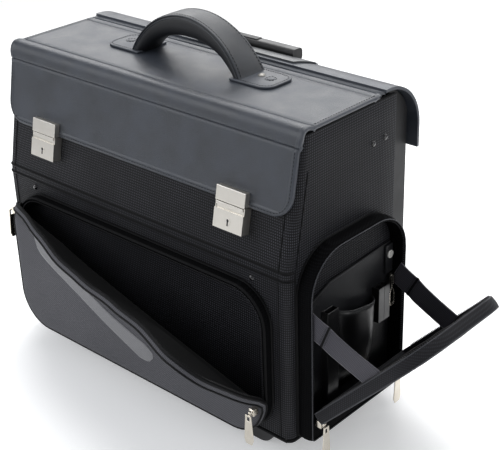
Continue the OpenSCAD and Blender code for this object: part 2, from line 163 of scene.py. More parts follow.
def faceAwayFrom(bm, point):
    # an open sheet's faces turned away from a point behind it
    bm.normal_update()
    total = sum(f.normal.dot(f.calc_center_median() - Vector(point)) * f.calc_area() for f in bm.faces)
    if total < 0:
        bmesh.ops.reverse_faces(bm, faces=bm.faces)


def slab(points, depth):
    # a flat outline of 3-D points, given a thickness along the vector depth
    bm = bmesh.new()
    face = bm.faces.new([bm.verts.new(p) for p in points])
    made = bmesh.ops.extrude_face_region(bm, geom=[face])
    verts = [g for g in made["geom"] if isinstance(g, bmesh.types.BMVert)]
    bmesh.ops.translate(bm, vec=Vector(depth), verts=verts)
    bmesh.ops.recalc_face_normals(bm, faces=bm.faces)
    return bm


def join(bm, other):
    mesh = bpy.data.meshes.new("part")
    other.to_mesh(mesh)
    other.free()
    bm.from_mesh(mesh)
    bpy.data.meshes.remove(mesh)


def roundEdges(bm, width, segments=3, over=30):
    # bevels the edges that turn by more than some degrees
    bm.normal_update()
    sharp = [e for e in bm.edges
             if len(e.link_faces) == 2 and e.calc_face_angle(0) > math.radians(over)]
    bmesh.ops.bevel(bm, geom=sharp, offset=width, segments=segments, affect="EDGES",
                    profile=0.5, material=-1, clamp_overlap=True)


def tube(points, radius, closed=False, sides=8):
    # piping, wire or thread of one thickness along a route
    curve = bpy.data.curves.new("route", "CURVE")
    curve.dimensions = "3D"
    line = curve.splines.new("POLY")
    line.points.add(len(points) - 1)
    for spot, p in zip(line.points, points):
        spot.co = (p[0], p[1], p[2], 1)
    line.use_cyclic_u = closed
    curve.bevel_depth = radius
    curve.bevel_resolution = max(1, sides // 2 - 2)
    curve.use_fill_caps = not closed
    holder = bpy.data.objects.new("route", curve)
    mesh = bpy.data.meshes.new_from_object(holder)
    bm = bmesh.new()
    bm.from_mesh(mesh)
    bpy.data.objects.remove(holder)
    bpy.data.curves.remove(curve)
    bpy.data.meshes.remove(mesh)
    return bm


def stitches(routes, pitch=4.2, length=3.0, radius=0.45, closed=False):
    # a row of thread stitches along each route
    bm = bmesh.new()
    for points in routes:
        for place, way in spaced(points, pitch, closed):
            turn = Vector((0, 0, 1)).rotation_difference(way).to_matrix().to_4x4()
            shape = Matrix.Diagonal((radius, radius, length / 2, 1))
            bmesh.ops.create_uvsphere(bm, u_segments=6, v_segments=5, radius=1,
                                      matrix=Matrix.Translation(place) @ turn @ shape)
    return bm


def zipTeeth(points, up, pitch=2.6, reach=3.2, height=1.5, closed=False):
    # a row of coil-zip teeth along a route; up is the way that the teeth point
    bm = bmesh.new()
    for place, way in spaced(points, pitch, closed):
        ahead = Vector(way)
        rise = (Vector(up(place)) - ahead * ahead.dot(Vector(up(place)))).normalized()
        side = ahead.cross(rise)
        frameOf = Matrix((ahead, rise, side)).transposed().to_4x4()
        shape = Matrix.Diagonal((pitch * 0.3, reach / 2, height / 2, 1))
        bmesh.ops.create_uvsphere(bm, u_segments=6, v_segments=4, radius=1,
                                  matrix=Matrix.Translation(place) @ frameOf @ shape)
    return bm


def finish(name, bm, body, material, replaces=(), sharp=38, merge=True, outward=True):
    # puts a mesh made in millimetres into the scene as a piece
    if merge:
        bmesh.ops.remove_doubles(bm, verts=bm.verts, dist=0.004)
    if outward:
        bmesh.ops.recalc_face_normals(bm, faces=bm.faces)
    bmesh.ops.scale(bm, vec=(mm, mm, mm), verts=bm.verts)
    mesh = bpy.data.meshes.new(name)
    bm.to_mesh(mesh)
    bm.free()
    mesh.polygons.foreach_set("use_smooth", [True] * len(mesh.polygons))
    mesh.set_sharp_from_angle(angle=math.radians(sharp))
    piece = bpy.data.objects.new(name, mesh)
    scene.collection.objects.link(piece)
    mesh.materials.append(material)
    if body:
        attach(piece, body)
    if replaces:
        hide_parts(*replaces)
    return piece


def thicken(piece, thickness, offset=-1):
    wall = piece.modifiers.new("wall", "SOLIDIFY")
    wall.thickness = thickness * mm
    wall.offset = offset
    wall.use_even_offset = True
    return wall


def softEdges(piece, width, segments=2, over=35):
    edge = piece.modifiers.new("edge", "BEVEL")
    edge.width = width * mm
    edge.segments = segments
    edge.limit_method = "ANGLE"
    edge.angle_limit = math.radians(over)
    edge.use_clamp_overlap = True
    edge.profile = 0.5
    return edge


def softenedCopy(node, body, material, edge=0.8, segments=2, name=None):
    # a machined or moulded part with its edges broken, standing for its plain solid
    bm = bmesh.new()
    bm.from_mesh(frame["nodes"][node].data)
    bmesh.ops.remove_doubles(bm, verts=bm.verts, dist=0.00001)
    bmesh.ops.dissolve_limit(bm, angle_limit=math.radians(1.0), verts=bm.verts, edges=bm.edges)
    bmesh.ops.scale(bm, vec=(1 / mm, 1 / mm, 1 / mm), verts=bm.verts)
    bm.normal_update()
    sharp = [e for e in bm.edges
             if len(e.link_faces) == 2 and e.calc_face_angle(0) > math.radians(35)]
    bmesh.ops.bevel(bm, geom=sharp, offset=edge, segments=segments, affect="EDGES",
                    profile=0.5, material=-1, clamp_overlap=True)
    piece = finish(name or node + "_part", bm, body, material, replaces=(node,), outward=False)
    shading = piece.modifiers.new("shading", "WEIGHTED_NORMAL")
    shading.keep_sharp = True
    return piece


# materials

def hexColour(text):
    parts = [int(text[i:i + 2], 16) / 255 for i in (0, 2, 4)]
    return [p / 12.92 if p <= 0.04045 else ((p + 0.055) / 1.055) ** 2.4 for p in parts] + [1.0]


def addNode(tree, kind, inputs=None, **settings):
    node = tree.nodes.new(kind)
    for key, value in settings.items():
        setattr(node, key, value)
    for key, value in (inputs or {}).items():
        if isinstance(value, bpy.types.NodeSocket):
            tree.links.new(value, node.inputs[key])
        else:
            node.inputs[key].default_value = value
    return node


def startMaterial(name, **constants):
    material = bpy.data.materials.new(name)
    material.use_nodes = True
    tree = material.node_tree
    shader = tree.nodes["Principled BSDF"]
    for key, value in constants.items():
        shader.inputs[key.replace("_", " ")].default_value = value
    return material, tree, shader


def blendColours(tree, factor, first, second):
    node = addNode(tree, "ShaderNodeMix", {"Factor": factor}, data_type="RGBA")
    node.inputs[6].default_value = hexColour(first) if isinstance(first, str) else first
    node.inputs[7].default_value = hexColour(second) if isinstance(second, str) else second
    return node.outputs[2]


def bandScale(period):
    # the wave texture repeats every 0.314 of a metre at scale 1
    return 2 * math.pi / 20 / (period * mm)


def clothCoordinates(tree, onSurface=False):
    # x + y and z in metres, so that a weave runs on over the front and the ends
    if onSurface:
        return addNode(tree, "ShaderNodeUVMap", uv_map="cloth").outputs["UV"]
    place = addNode(tree, "ShaderNodeTexCoord").outputs["Object"]
    axes = addNode(tree, "ShaderNodeSeparateXYZ", {"Vector": place})
    along = addNode(tree, "ShaderNodeMath", {0: axes.outputs["X"], 1: axes.outputs["Y"]}, operation="ADD")
    return addNode(tree, "ShaderNodeCombineXYZ",
                   {"X": along.outputs[0], "Y": axes.outputs["Z"]}).outputs["Vector"]


def weaveHeight(tree, coordinates, period, turn=45):
    # crossed ribs: the height of a plain weave whose threads lie at an angle
    turned = addNode(tree, "ShaderNodeMapping",
                     {"Vector": coordinates, "Rotation": (0, 0, math.radians(turn))}).outputs["Vector"]
    ribs = [addNode(tree, "ShaderNodeTexWave", {"Vector": turned, "Scale": bandScale(period)},
                    wave_type="BANDS", bands_direction=d).outputs["Fac"] for d in ("X", "Y")]
    return addNode(tree, "ShaderNodeMath", {0: ribs[0], 1: ribs[1]}, operation="MULTIPLY").outputs[0]


def wovenCloth(name, dark, light, period, roughness, sheen, depth=0.25, turn=45, onSurface=False, shine=0.18):
    # the crowns of the threads get a painted highlight, a paler base colour, in soft random blotches
    material, tree, shader = startMaterial(name, Roughness=roughness, Sheen_Weight=sheen,
                                           Sheen_Roughness=0.45, Specular_IOR_Level=shine)
    coordinates = clothCoordinates(tree, onSurface)
    height = weaveHeight(tree, coordinates, period, turn)
    place = addNode(tree, "ShaderNodeTexCoord").outputs["Object"]
    blotch = addNode(tree, "ShaderNodeTexNoise", {"Vector": place, "Scale": 14.0, "Detail": 4.0})
    crown = addNode(tree, "ShaderNodeMapRange",
                    {"Value": height, "From Min": 0.25, "From Max": 0.8}).outputs[0]
    glintBlotches = addNode(tree, "ShaderNodeMapRange", {"Value": blotch.outputs["Fac"], "From Min": 0.35,
                                                 "From Max": 0.75, "To Min": 0.55}).outputs[0]
    # share: how strongly the painted highlight pales the base colour on the crowns
    share = addNode(tree, "ShaderNodeMath", {0: crown, 1: glintBlotches}, operation="MULTIPLY").outputs[0]
    tree.links.new(blendColours(tree, share, dark, light), shader.inputs["Base Color"])
    bump = addNode(tree, "ShaderNodeBump", {"Height": height, "Distance": depth * mm, "Strength": 0.7})
    tree.links.new(bump.outputs["Normal"], shader.inputs["Normal"])
    return material


def grainedLeather(name, base, tone, roughness, grain=1.5, depth=0.12, coat=0.0, edgeWearAndHighlight=None):
    # pebbled cells with creases between them, under a satin coat that is never quite even
    material, tree, shader = startMaterial(name, Coat_Weight=coat, Coat_Roughness=0.25,
                                           Specular_IOR_Level=0.55)
    place = addNode(tree, "ShaderNodeTexCoord").outputs["Object"]
    cells = addNode(tree, "ShaderNodeTexVoronoi", {"Vector": place, "Scale": 1 / (grain * mm)},
                    feature="DISTANCE_TO_EDGE").outputs["Distance"]
    pebble = addNode(tree, "ShaderNodeMapRange", {"Value": cells, "From Max": 0.25}).outputs[0]
    fold = addNode(tree, "ShaderNodeTexNoise", {"Vector": place, "Scale": 38.0, "Detail": 5.0}).outputs["Fac"]
    tint = addNode(tree, "ShaderNodeMapRange", {"Value": fold, "From Min": 0.3, "From Max": 0.7}).outputs[0]
    colour = blendColours(tree, tint, base, tone)
    if edgeWearAndHighlight:
        # convex edges are painted paler: partly where rubbing has thinned the coat, partly a painted
        # highlight along the edges
        point = addNode(tree, "ShaderNodeNewGeometry").outputs["Pointiness"]
        edge = addNode(tree, "ShaderNodeMapRange", {"Value": point, "From Min": 0.52,
                                                     "From Max": 0.6, "To Max": 0.55}).outputs[0]
        paleEdgeMix = addNode(tree, "ShaderNodeMix", {"Factor": edge}, data_type="RGBA")
        tree.links.new(colour, paleEdgeMix.inputs[6])
        paleEdgeMix.inputs[7].default_value = hexColour(edgeWearAndHighlight)
        colour = paleEdgeMix.outputs[2]
    tree.links.new(colour, shader.inputs["Base Color"])
    gloss = addNode(tree, "ShaderNodeMapRange", {"Value": fold, "From Min": 0.3, "From Max": 0.7,
                                                  "To Min": roughness - 0.06, "To Max": roughness + 0.08})
    tree.links.new(gloss.outputs[0], shader.inputs["Roughness"])
    wrinkle = addNode(tree, "ShaderNodeBump", {"Height": fold, "Distance": 0.6 * mm, "Strength": 0.35})
    bump = addNode(tree, "ShaderNodeBump", {"Height": pebble, "Distance": depth * mm, "Strength": 0.6,
                                            "Normal": wrinkle.outputs["Normal"]})
    tree.links.new(bump.outputs["Normal"], shader.inputs["Normal"])
    return material


def platedMetal(name, base, tone, roughness, brush=0.5, along=(1, 1, 40)):
    # fine brushing lines that draw the highlight out, and a slight cloudiness in the plate
    material, tree, shader = startMaterial(name, Metallic=1.0)
    place = addNode(tree, "ShaderNodeTexCoord").outputs["Object"]
    drawn = addNode(tree, "ShaderNodeMapping", {"Vector": place, "Scale": along}).outputs["Vector"]
    lines = addNode(tree, "ShaderNodeTexNoise",
                    {"Vector": drawn, "Scale": 60.0, "Detail": 6.0}).outputs["Fac"]
    cloud = addNode(tree, "ShaderNodeTexNoise",
                    {"Vector": place, "Scale": 90.0, "Detail": 2.0}).outputs["Fac"]
    tree.links.new(blendColours(tree, cloud, base, tone), shader.inputs["Base Color"])
    gloss = addNode(tree, "ShaderNodeMapRange", {"Value": lines, "From Min": 0.3, "From Max": 0.7,
                                                  "To Min": roughness - 0.02, "To Max": roughness + 0.05})
    tree.links.new(gloss.outputs[0], shader.inputs["Roughness"])
    bump = addNode(tree, "ShaderNodeBump", {"Height": lines, "Distance": 0.006 * mm, "Strength": brush})
    tree.links.new(bump.outputs["Normal"], shader.inputs["Normal"])
    return material


def mouldedPlastic(name, base, tone, roughness, grit=0.9, depth=0.06, coat=0.0):
    # spark-eroded texture from the mould, a little shinier where hands and floors rub it
    material, tree, shader = startMaterial(name, Coat_Weight=coat, Coat_Roughness=0.12)
    place = addNode(tree, "ShaderNodeTexCoord").outputs["Object"]
    speck = addNode(tree, "ShaderNodeTexNoise", {"Vector": place, "Scale": 1 / (grit * mm),
                                                  "Detail": 3.0}).outputs["Fac"]
    scuff = addNode(tree, "ShaderNodeTexNoise", {"Vector": place, "Scale": 26.0, "Detail": 6.0,
                                                  "Roughness": 0.6}).outputs["Fac"]
    share = addNode(tree, "ShaderNodeMapRange", {"Value": scuff, "From Min": 0.4, "From Max": 0.7}).outputs[0]
    tree.links.new(blendColours(tree, share, base, tone), shader.inputs["Base Color"])
    gloss = addNode(tree, "ShaderNodeMapRange", {"Value": scuff, "From Min": 0.35, "From Max": 0.7,
                                                  "To Min": roughness + 0.05, "To Max": roughness - 0.06})
    tree.links.new(gloss.outputs[0], shader.inputs["Roughness"])
    bump = addNode(tree, "ShaderNodeBump", {"Height": speck, "Distance": depth * mm, "Strength": 0.5})
    tree.links.new(bump.outputs["Normal"], shader.inputs["Normal"])
    return material


def ribbedWebbing(name, dark, light, rib=2.2, cross=1.6):
    # polyester webbing: ribs run along the strap, crossed by a finer pick
    material, tree, shader = startMaterial(name, Roughness=0.62, Sheen_Weight=0.35, Sheen_Roughness=0.4)
    onStrap = addNode(tree, "ShaderNodeUVMap", uv_map="cloth").outputs["UV"]
    waves = [addNode(tree, "ShaderNodeTexWave", {"Vector": onStrap, "Scale": bandScale(p)},
                     wave_type="BANDS", bands_direction=d).outputs["Fac"]
             for d, p in (("X", rib), ("Y", cross))]
    height = addNode(tree, "ShaderNodeMath", {0: waves[0], 1: waves[1]}, operation="MULTIPLY").outputs[0]
    tree.links.new(blendColours(tree, height, dark, light), shader.inputs["Base Color"])
    bump = addNode(tree, "ShaderNodeBump", {"Height": height, "Distance": 0.3 * mm, "Strength": 0.7})
    tree.links.new(bump.outputs["Normal"], shader.inputs["Normal"])
    return material


# ballistic nylon bonded to board: black, with a painted dotted glint, a paler base colour, on the crowns of
# its threads;
# the threads are 0.7 mm apart, drawn at 2.7 mm so that they show
bodyNylon = wovenCloth("ballisticNylon", "09090b", "46474e", 2.9, 0.6, 0.03, depth=0.4, turn=0)
# the same nylon in the end pocket's frame, matt, and painted nearly black for the shade that falls on the
# frame
frameNylonPaintedShade = wovenCloth("frameNylonPaintedShade", "030304", "101113", 2.4, 0.8, 0.0, depth=0.4, turn=0, shine=0.06)
# finer nylon for the pocket's front: a smooth mid grey with a dry look
pocketNylon = wovenCloth("pocketNylon", "424246", "6b6b70", 1.8, 0.75, 0.12, depth=0.2)
# nylon of the end tray's outside: charcoal with a coarser thread
trayNylon = wovenCloth("trayNylon", "17171a", "2e2f34", 2.6, 0.7, 0.04, depth=0.3, turn=0)
# plain lining: nearly black, dull
liningCloth = wovenCloth("liningTaffeta", "070708", "131315", 1.2, 0.8, 0.02, depth=0.1)
# woven binding tape round the cloth's raw edges: black, ribbed
bindingTape = wovenCloth("bindingTape", "070708", "1a1b1d", 1.3, 0.55, 0.02, depth=0.2, turn=0, shine=0.12)
# the paler, tightly wound piping of the end pocket
palePiping = wovenCloth("palePiping", "2e2f33", "606167", 1.3, 0.4, 0.06, depth=0.1, turn=0)
# pale grey rubber-coated cloth of the accent strip
accentCloth = wovenCloth("accentCloth", "707072", "8a8a8d", 1.6, 0.5, 0.1, depth=0.12)
# coated split leather, blue-black with a satin glow; its edges are painted paler, partly from rubbing and
# partly as a painted highlight
caseLeather = grainedLeather("coatedLeather", "24282f", "30353e", 0.44, coat=0.06, edgeWearAndHighlight="4c5058")
# the same leather made darker; on the handle's pad, under the strap, the darker tone is painted shade
darkLeather = grainedLeather("darkLeather", "101114", "191a1d", 0.46)
# the handle's strap, darker and smoother than the lid
handleLeather = grainedLeather("handleLeather", "181b20", "22262c", 0.42, coat=0.06, edgeWearAndHighlight="44484f")
# glossy lacquered leather inside the end pocket
glossLeather = grainedLeather("lacqueredLeather", "0b0b0c", "151517", 0.36, grain=1.1, depth=0.02, coat=0.15)
# waxed thread, darker than the leather, with a faint shine
waxedThread = wovenCloth("waxedThread", "0d0e11", "2b2e34", 0.8, 0.4, 0.02, depth=0.1)
# satin nickel plate on pressed steel: warm white, softly brushed
satinNickel = platedMetal("satinNickel", "dedad2", "d6d1c8", 0.34, brush=0.3)
# polished nickel on cast zinc: brighter and smoother
polishedNickel = platedMetal("polishedNickel", "e2dcd0", "d0c8ba", 0.2, brush=0.2)
# nickel rivets dulled by handling: a grey glow instead of a glint
dullNickel = platedMetal("dulledNickel", "9a9893", "86847f", 0.5, brush=0.2)
# black enamel over steel
blackEnamel = mouldedPlastic("blackEnamel", "070708", "101012", 0.25, depth=0.02, coat=0.5)
# textured ABS of the housing, wheels and feet
blackAbs = mouldedPlastic("texturedAbs", "101012", "17171a", 0.5)
# paler matt ABS of the bezel
bezelAbs = mouldedPlastic("bezelAbs", "46484a", "56585a", 0.42, depth=0.04)
# glossy grip, polished by hands
gripAbs = mouldedPlastic("glossAbs", "141415", "202021", 0.4, depth=0.02, coat=0.05)
# nylon coil of the zips
zipNylon = mouldedPlastic("zipNylon", "1a1a1c", "2b2b2e", 0.4, grit=0.6, depth=0.02)
tyreRubber = mouldedPlastic("tyreRubber", "0c0c0d", "1b1b1c", 0.72, grit=0.7, depth=0.12)
strapWebbing = ribbedWebbing("polyesterWebbing", "232229", "4a4854")
drawnAluminium = platedMetal("anodisedAluminium", "b9babd", "a6a8ac", 0.32, brush=0.5, along=(30, 30, 1))
axleSteel = platedMetal("turnedSteel", "9a9a9c", "86868a", 0.35, along=(1, 30, 30))
whiteEnamel = mouldedPlastic("whiteEnamel", "dcdbd6", "c9c8c2", 0.25, depth=0.01, coat=0.4)
print("materials made")


# light and floor

def softbox(name, place, aim, size, power, colour=(1, 1, 1)):
    light = bpy.data.lights.new(name, "AREA")
    light.shape = "RECTANGLE"
    light.size, light.size_y = size
    light.energy = power
    light.color = colour
    holder = bpy.data.objects.new(name, light)
    direction = Vector(aim) - Vector(place)
    turn = direction.to_track_quat("-Z", "Y").to_matrix().to_4x4()
    holder.matrix_world = Matrix.Translation(Vector(place)) @ turn
    scene.collection.objects.link(holder)


softbox("overhead", (-0.1, 0.5, 2.1), (0, -0.05, 0.2), (1.8, 1.4), 34)
softbox("behind", (-1.35, 1.45, 1.35), (0, 0, 0.38), (2.3, 1.1), 25)
softbox("frontLeft", (-1.3, -1.9, 1.3), (-0.05, -0.1, 0.2), (1.8, 1.4), 26, (0.95, 0.97, 1))
softbox("rearRight", (0.9, 1.7, 1.4), (0.1, 0.05, 0.35), (0.7, 0.7), 7)
softbox("right", (2.0, -0.1, 0.8), (0.2, 0, 0.2), (0.9, 1.2), 6)


def makeWorld():
    # the paper behind is bright to the eye, the room round the object is dimmer
    world = bpy.data.worlds.new("studio")
    scene.world = world
    world.use_nodes = True
    tree = world.node_tree
    backdrop = tree.nodes["Background"]
    backdrop.inputs["Color"].default_value = (1, 1, 1, 1)
    backdrop.inputs["Strength"].default_value = 1.0
    room = addNode(tree, "ShaderNodeBackground", {"Color": (0.94, 0.96, 1.0, 1), "Strength": 0.42})
    ray = addNode(tree, "ShaderNodeLightPath")
    seen = addNode(tree, "ShaderNodeMixShader",
                   {0: ray.outputs["Is Camera Ray"], 1: room.outputs[0], 2: backdrop.outputs[0]})
    tree.links.new(seen.outputs[0], tree.nodes["World Output"].inputs["Surface"])


makeWorld()
scene.view_settings.view_transform = "Standard"


def makeFloor():
    # white paper on a light table, fading into the backdrop away from the case
    bm = bmesh.new()
    bmesh.ops.create_grid(bm, x_segments=2, y_segments=2, size=6)
    mesh = bpy.data.meshes.new("floor")
    bm.to_mesh(mesh)
    bm.free()
    floor = bpy.data.objects.new("floor", mesh)
    scene.collection.objects.link(floor)
    material, tree, shader = startMaterial("floorPaper", Roughness=0.6, Emission_Strength=0.3)
    shader.inputs["Base Color"].default_value = hexColour("f1f1f1")
    shader.inputs["Emission Color"].default_value = (0.98, 0.99, 1, 1)
    place = addNode(tree, "ShaderNodeTexCoord").outputs["Object"]
    reach = addNode(tree, "ShaderNodeVectorMath", {0: place}, operation="LENGTH").outputs["Value"]
    fade = addNode(tree, "ShaderNodeMapRange", {"Value": reach, "From Min": 0.9, "From Max": 1.7}).outputs[0]
    clear = addNode(tree, "ShaderNodeBsdfTransparent")
    blend = addNode(tree, "ShaderNodeMixShader", {0: fade, 1: shader.outputs[0], 2: clear.outputs[0]})
    tree.links.new(blend.outputs[0], tree.nodes["Material Output"].inputs["Surface"])
    mesh.materials.append(material)


makeFloor()
print("lights and floor made")

# body

body = {
    "halfLength": boxMm("rear_cover")[1].x,
    "front": boxMm("front_board")[0].y,
    "floor": boxMm("end_board_left")[0].z,
    "top": boxMm("end_board_left")[1].z,
    "back": boxMm("end_board_left")[1].y,
    "belt": 235,
    "beltBack": -80,            # the belt's welts end here on each end board
    "cornerRadius": 9,
    "board": 5,
}
faceWay = Vector(joints["lock_slide_left"]["axis"])      # down the leaning front
leanSlope = faceWay.y / faceWay.z                        # how far the front leans for each mm of height


def frontShift(z):
    return max(0, z - body["belt"]) * leanSlope


def bodyOutline(z, inset=0):
    # plan of the covered boards at a height: left end, front, right end
    r = body["cornerRadius"] - inset
    w = body["halfLength"] - inset
    front = body["front"] + inset + frontShift(z)
    left = [(-w, mix(body["back"], front + r, i / 6)) for i in range(7)]
    corner = arcPoints((-w + r, front + r), r, 180, 270, 6)[1:]
    middle = [(mix(-w + r, w - r, i / 16), front) for i in range(1, 16)]
    plan = left + corner + middle
    return plan + [(-x, y) for x, y in reversed(left + corner)]


def makeBodyCloth():
    heights = [body["floor"] + h for h in (0, 2, 6)]
    heights += [mix(40, body["belt"] - 6, i / 6) for i in range(7)]
    heights += [body["belt"] - 2.5, body["belt"] - 0.8, body["belt"] + 0.8, body["belt"] + 2.5]
    heights += [mix(body["belt"] + 10, body["top"] - 0.5, i / 6) for i in range(7)]
    rows = [[(x, y, z) for x, y in bodyOutline(z, 1.2 if z == body["floor"] else 0)] for z in heights]
    bm = gridOf(rows)
    faceAwayFrom(bm, (0, 0, 200))
    piece = finish("body_cloth", bm, "case", bodyNylon, outward=False,
                   replaces=("front_board", "end_board_left", "end_board_right"))
    thicken(piece, body["board"])
    softEdges(piece, 0.8, over=50)


makeBodyCloth()


def beltLines():
    # two welts round the front and ends, where the upright cloth meets the leaning cloth
    for height, radius, name in ((body["belt"] + 3.5, 1.5, "belt_welt_upper"),
                                 (body["belt"] - 5.5, 1.5, "belt_welt_lower")):
        route = [(x, y, height) for x, y in bodyOutline(height, 0.1)]
        yield name, route, radius


for weltName, weltRoute, weltRadius in beltLines():
    inner = [p for p in weltRoute if p[1] < body["beltBack"]]
    finish(weltName, tube(inner, weltRadius), "case", bindingTape)


def cornerWelts():
    # seams at the two front corners: one on the front and one on the end
    welts = bmesh.new()
    heights = [mix(body["floor"] + 4, body["belt"] - 6, i / 4) for i in range(5)]
    heights += [mix(body["belt"] + 4, body["top"] - 40, i / 4) for i in range(5)]
    for side in (-1, 1):
        for x, back in ((body["halfLength"] - 13, -0.1), (body["halfLength"] + 0.1, 12)):
            join(welts, tube([(side * x, body["front"] + frontShift(z) + back, z) for z in heights], 0.75))
    finish("corner_welts", welts, "case", bindingTape)


cornerWelts()

# black tape round the foot of the body
baseRoute = [(x, y, body["floor"] + 3.2) for x, y in bodyOutline(60, 0.4)]
finish("base_piping", tube(baseRoute, 2.2), "case", bindingTape)
print("body made")

# lid and front flap: one sheet of leather

top = {
    "lidHeight": boxMm("lid_board")[1].z,
    "seam": boxMm("lid_board")[1].y,
    "halfLid": boxMm("lid_board")[1].x,
    "halfFlap": boxMm("flap_board")[1].x,
    "flapEnd": 62.1,            # the flap's lower edge, up the leaning face from the belt
    "foldEnd": 150,             # where the leather leaves the roll at the lid's front edge
    "faceOut": 4.5,             # the leather's outer surface above the leaning face
    "corner": 25,
    "border": 5,                # width of the bound edge
    "thickness": 4,
    "bendStart": (0, -78.5, 388.5),   # the leather bends between these as the flap turns
    "bendEnd": (0, -90, 370),
}
acrossFace = Vector((0, faceWay.z, -faceWay.y)).normalized()   # out of the leaning front
if acrossFace.y > 0:
    acrossFace = -acrossFace


def onFace(x, up, out):
    # a point on the leaning front: up from the belt line, and out of the face
    start = Vector((x, body["front"], body["belt"]))
    return start - faceWay * up + acrossFace * out


def leatherProfile():
    # (point on the outer surface in Y and Z, distance above the flap's lower edge or None)
    lid = top["lidHeight"]
    rows = [(top["seam"] - d, lid - h, None) for d, h in
            ((0, 1.2), (0.8, 0.2), (1.6, 0), (9, 0.1), (10.2, 0.9), (11.4, 0.1))]
    rows += [(mix(top["seam"] - 20, -58, i / 7), lid, None) for i in range(8)]
    rows += [(-64.5, lid, None), (-65.5, lid - 0.8, None), (-66.5, lid, None)]
    # the roll along the front edge
    rows += [(y, z, None) for y, z in ((-69, lid + 0.9), (-72.5, lid + 1.9), (-76, lid + 2.0),
                                       (-79.5, lid + 1.1), (-82.2, lid - 1.0), (-84.2, lid - 3.8),
                                       (-85.4, lid - 7.2))]
    ups = [146.5, 143, 139.8, 138.8, 138.0, 137.2, 136.2, 133]
    dips = [0.4, 0.1, 0, -0.5, -1.3, -0.5, 0, 0]
    rows += [tuple(onFace(0, u, top["faceOut"] + d).yz) + (u - top["flapEnd"],) for u, d in zip(ups, dips)]
    lower = [62, 54, 46, 38, 31, 25, 19, 14, 10, 7.5, 6.2, 5.2, 4.4, 3, 1.6, 0.6, 0]
    rows += [tuple(onFace(0, top["flapEnd"] + d, top["faceOut"]).yz) + (d,) for d in lower]
    return rows


def sideSteps(half):
    edge = [0, 0.6, 1.6, 3, 4.4, 5.2, 6.2, 7.5, 10, 16]
    side = [-half + e for e in edge]
    inside = [mix(-half + 24, half - 24, i / 24) for i in range(25)]
    return side + inside + [-x for x in reversed(side)]


def flapHalfWidth(up):
    # half the sheet's width where it lies this far above the flap's lower edge
    r = top["corner"]
    if up is None:
        return top["halfLid"]
    narrow = mix(top["halfFlap"], top["halfLid"], smooth((up - 70) / 14))
    if up < r:
        return narrow - r + math.sqrt(max(0, r * r - (r - up) ** 2))
    return narrow


def makeTopLeather():
    rows = []
    profile = leatherProfile()
    for y, z, up in profile:
        half = flapHalfWidth(up)
        scale = half / top["halfLid"]
        row = []
        for x0 in sideSteps(top["halfLid"]):
            x = x0 * scale
            edge = (top["halfLid"] - abs(x0))
            if up is not None:
                edge = min(edge, up)
            lift = 0
            if edge < top["border"] + 0.3:
                lift = 0.7                       # the folded border stands proud of the panel
            if edge < 0.7:
                lift = 0.1
            if up is not None:
                row.append(Vector((x, y, z)) + acrossFace * lift)
            else:
                row.append(Vector((x, y, z + lift)))
        rows.append(row)
    bm = gridOf(rows)
    faceAwayFrom(bm, (0, 20, 320))
    piece = finish("top_leather", bm, None, caseLeather, outward=False, merge=False,
                   replaces=("lid_board", "flap_board"), sharp=60)
    thicken(piece, top["thickness"])
    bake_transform(piece)


makeTopLeather()


def flapStitchRoute(inset):
    # along the flap's left edge, its lower edge and its right edge
    half, r = top["halfFlap"] - inset, top["corner"] - inset
    foot = top["flapEnd"] + inset
    left = [(-half, mix(134, foot + r, i / 4)) for i in range(5)]
    turn = [(-half + r + dx, foot + r + dz) for dx, dz in
            [(r * math.cos(a), r * math.sin(a)) for a in
             [math.radians(mix(180, 270, i / 8)) for i in range(1, 9)]]]
    line = left + turn
    line += [(-x, u) for x, u in reversed(line)]
    return [onFace(x, u, top["faceOut"] + 0.75) for x, u in line]


lidStitches = [[(s * (top["halfLid"] - 3.1), mix(38, -62, i / 4), top["lidHeight"] + 0.75)
                for i in range(5)] for s in (-1, 1)]
finish("flap_stitching", stitches([flapStitchRoute(3.1)]), "front_flap", waxedThread, merge=False,
       outward=False)
finish("lid_stitching", stitches(lidStitches), "lid", waxedThread, merge=False, outward=False)
print("lid and flap made")

# the leather strip that the lid turns on, and the rear cover

hinge = {
    "front": boxMm("hinge_strip")[0].y,
    "back": boxMm("hinge_strip")[1].y,
    "half": boxMm("hinge_strip")[1].x,
    "top": top["lidHeight"],
}


def makeHingeLeather():
    # a flat strip between two sewn ridges
    span = hinge["back"] - hinge["front"]
    shape = ((-0.02, -2.4), (0.0, -0.8), (0.05, 0.1), (0.11, 0.45), (0.18, 0.2), (0.24, 0.0), (0.72, 0.05),
             (0.80, 0.3), (0.88, 0.7), (0.94, 0.4), (1.0, -0.8), (1.02, -2.4))
    columns = [mix(-hinge["half"], hinge["half"], i / 24) for i in range(25)]
    rows = [[(x, hinge["front"] + span * t, hinge["top"] + h) for x in columns] for t, h in shape]
    bm = gridOf(rows)
    faceAwayFrom(bm, (0, hinge["front"], 300))
    piece = finish("hinge_leather", bm, None, caseLeather, outward=False, merge=False,
                   replaces=("hinge_strip",), sharp=60)
    thicken(piece, 1.2)
    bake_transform(piece)


makeHingeLeather()
softenedCopy("rear_cover", "case", caseLeather, edge=1.3, segments=3, name="rear_cover_leather")
print("rear cover made")

# carry handle

grip = {
    "crown": boxMm("carry_handle")[1].z,
    "foot": boxMm("carry_handle")[0].z,
    "halfSpan": 88,
    "middle": (boxMm("carry_handle")[0].y + boxMm("carry_handle")[1].y) / 2,
    "halfApex": 16.5,
    "halfFoot": 21,
    "thickness": 13,
    "strap": 2.6,
}
gripRise = grip["crown"] - top["lidHeight"]
gripRadius = (grip["halfSpan"] ** 2 + gripRise ** 2) / (2 * gripRise)
gripCentre = grip["crown"] - gripRadius
gripReach = math.degrees(math.acos((grip["foot"] - gripCentre) / gripRadius))


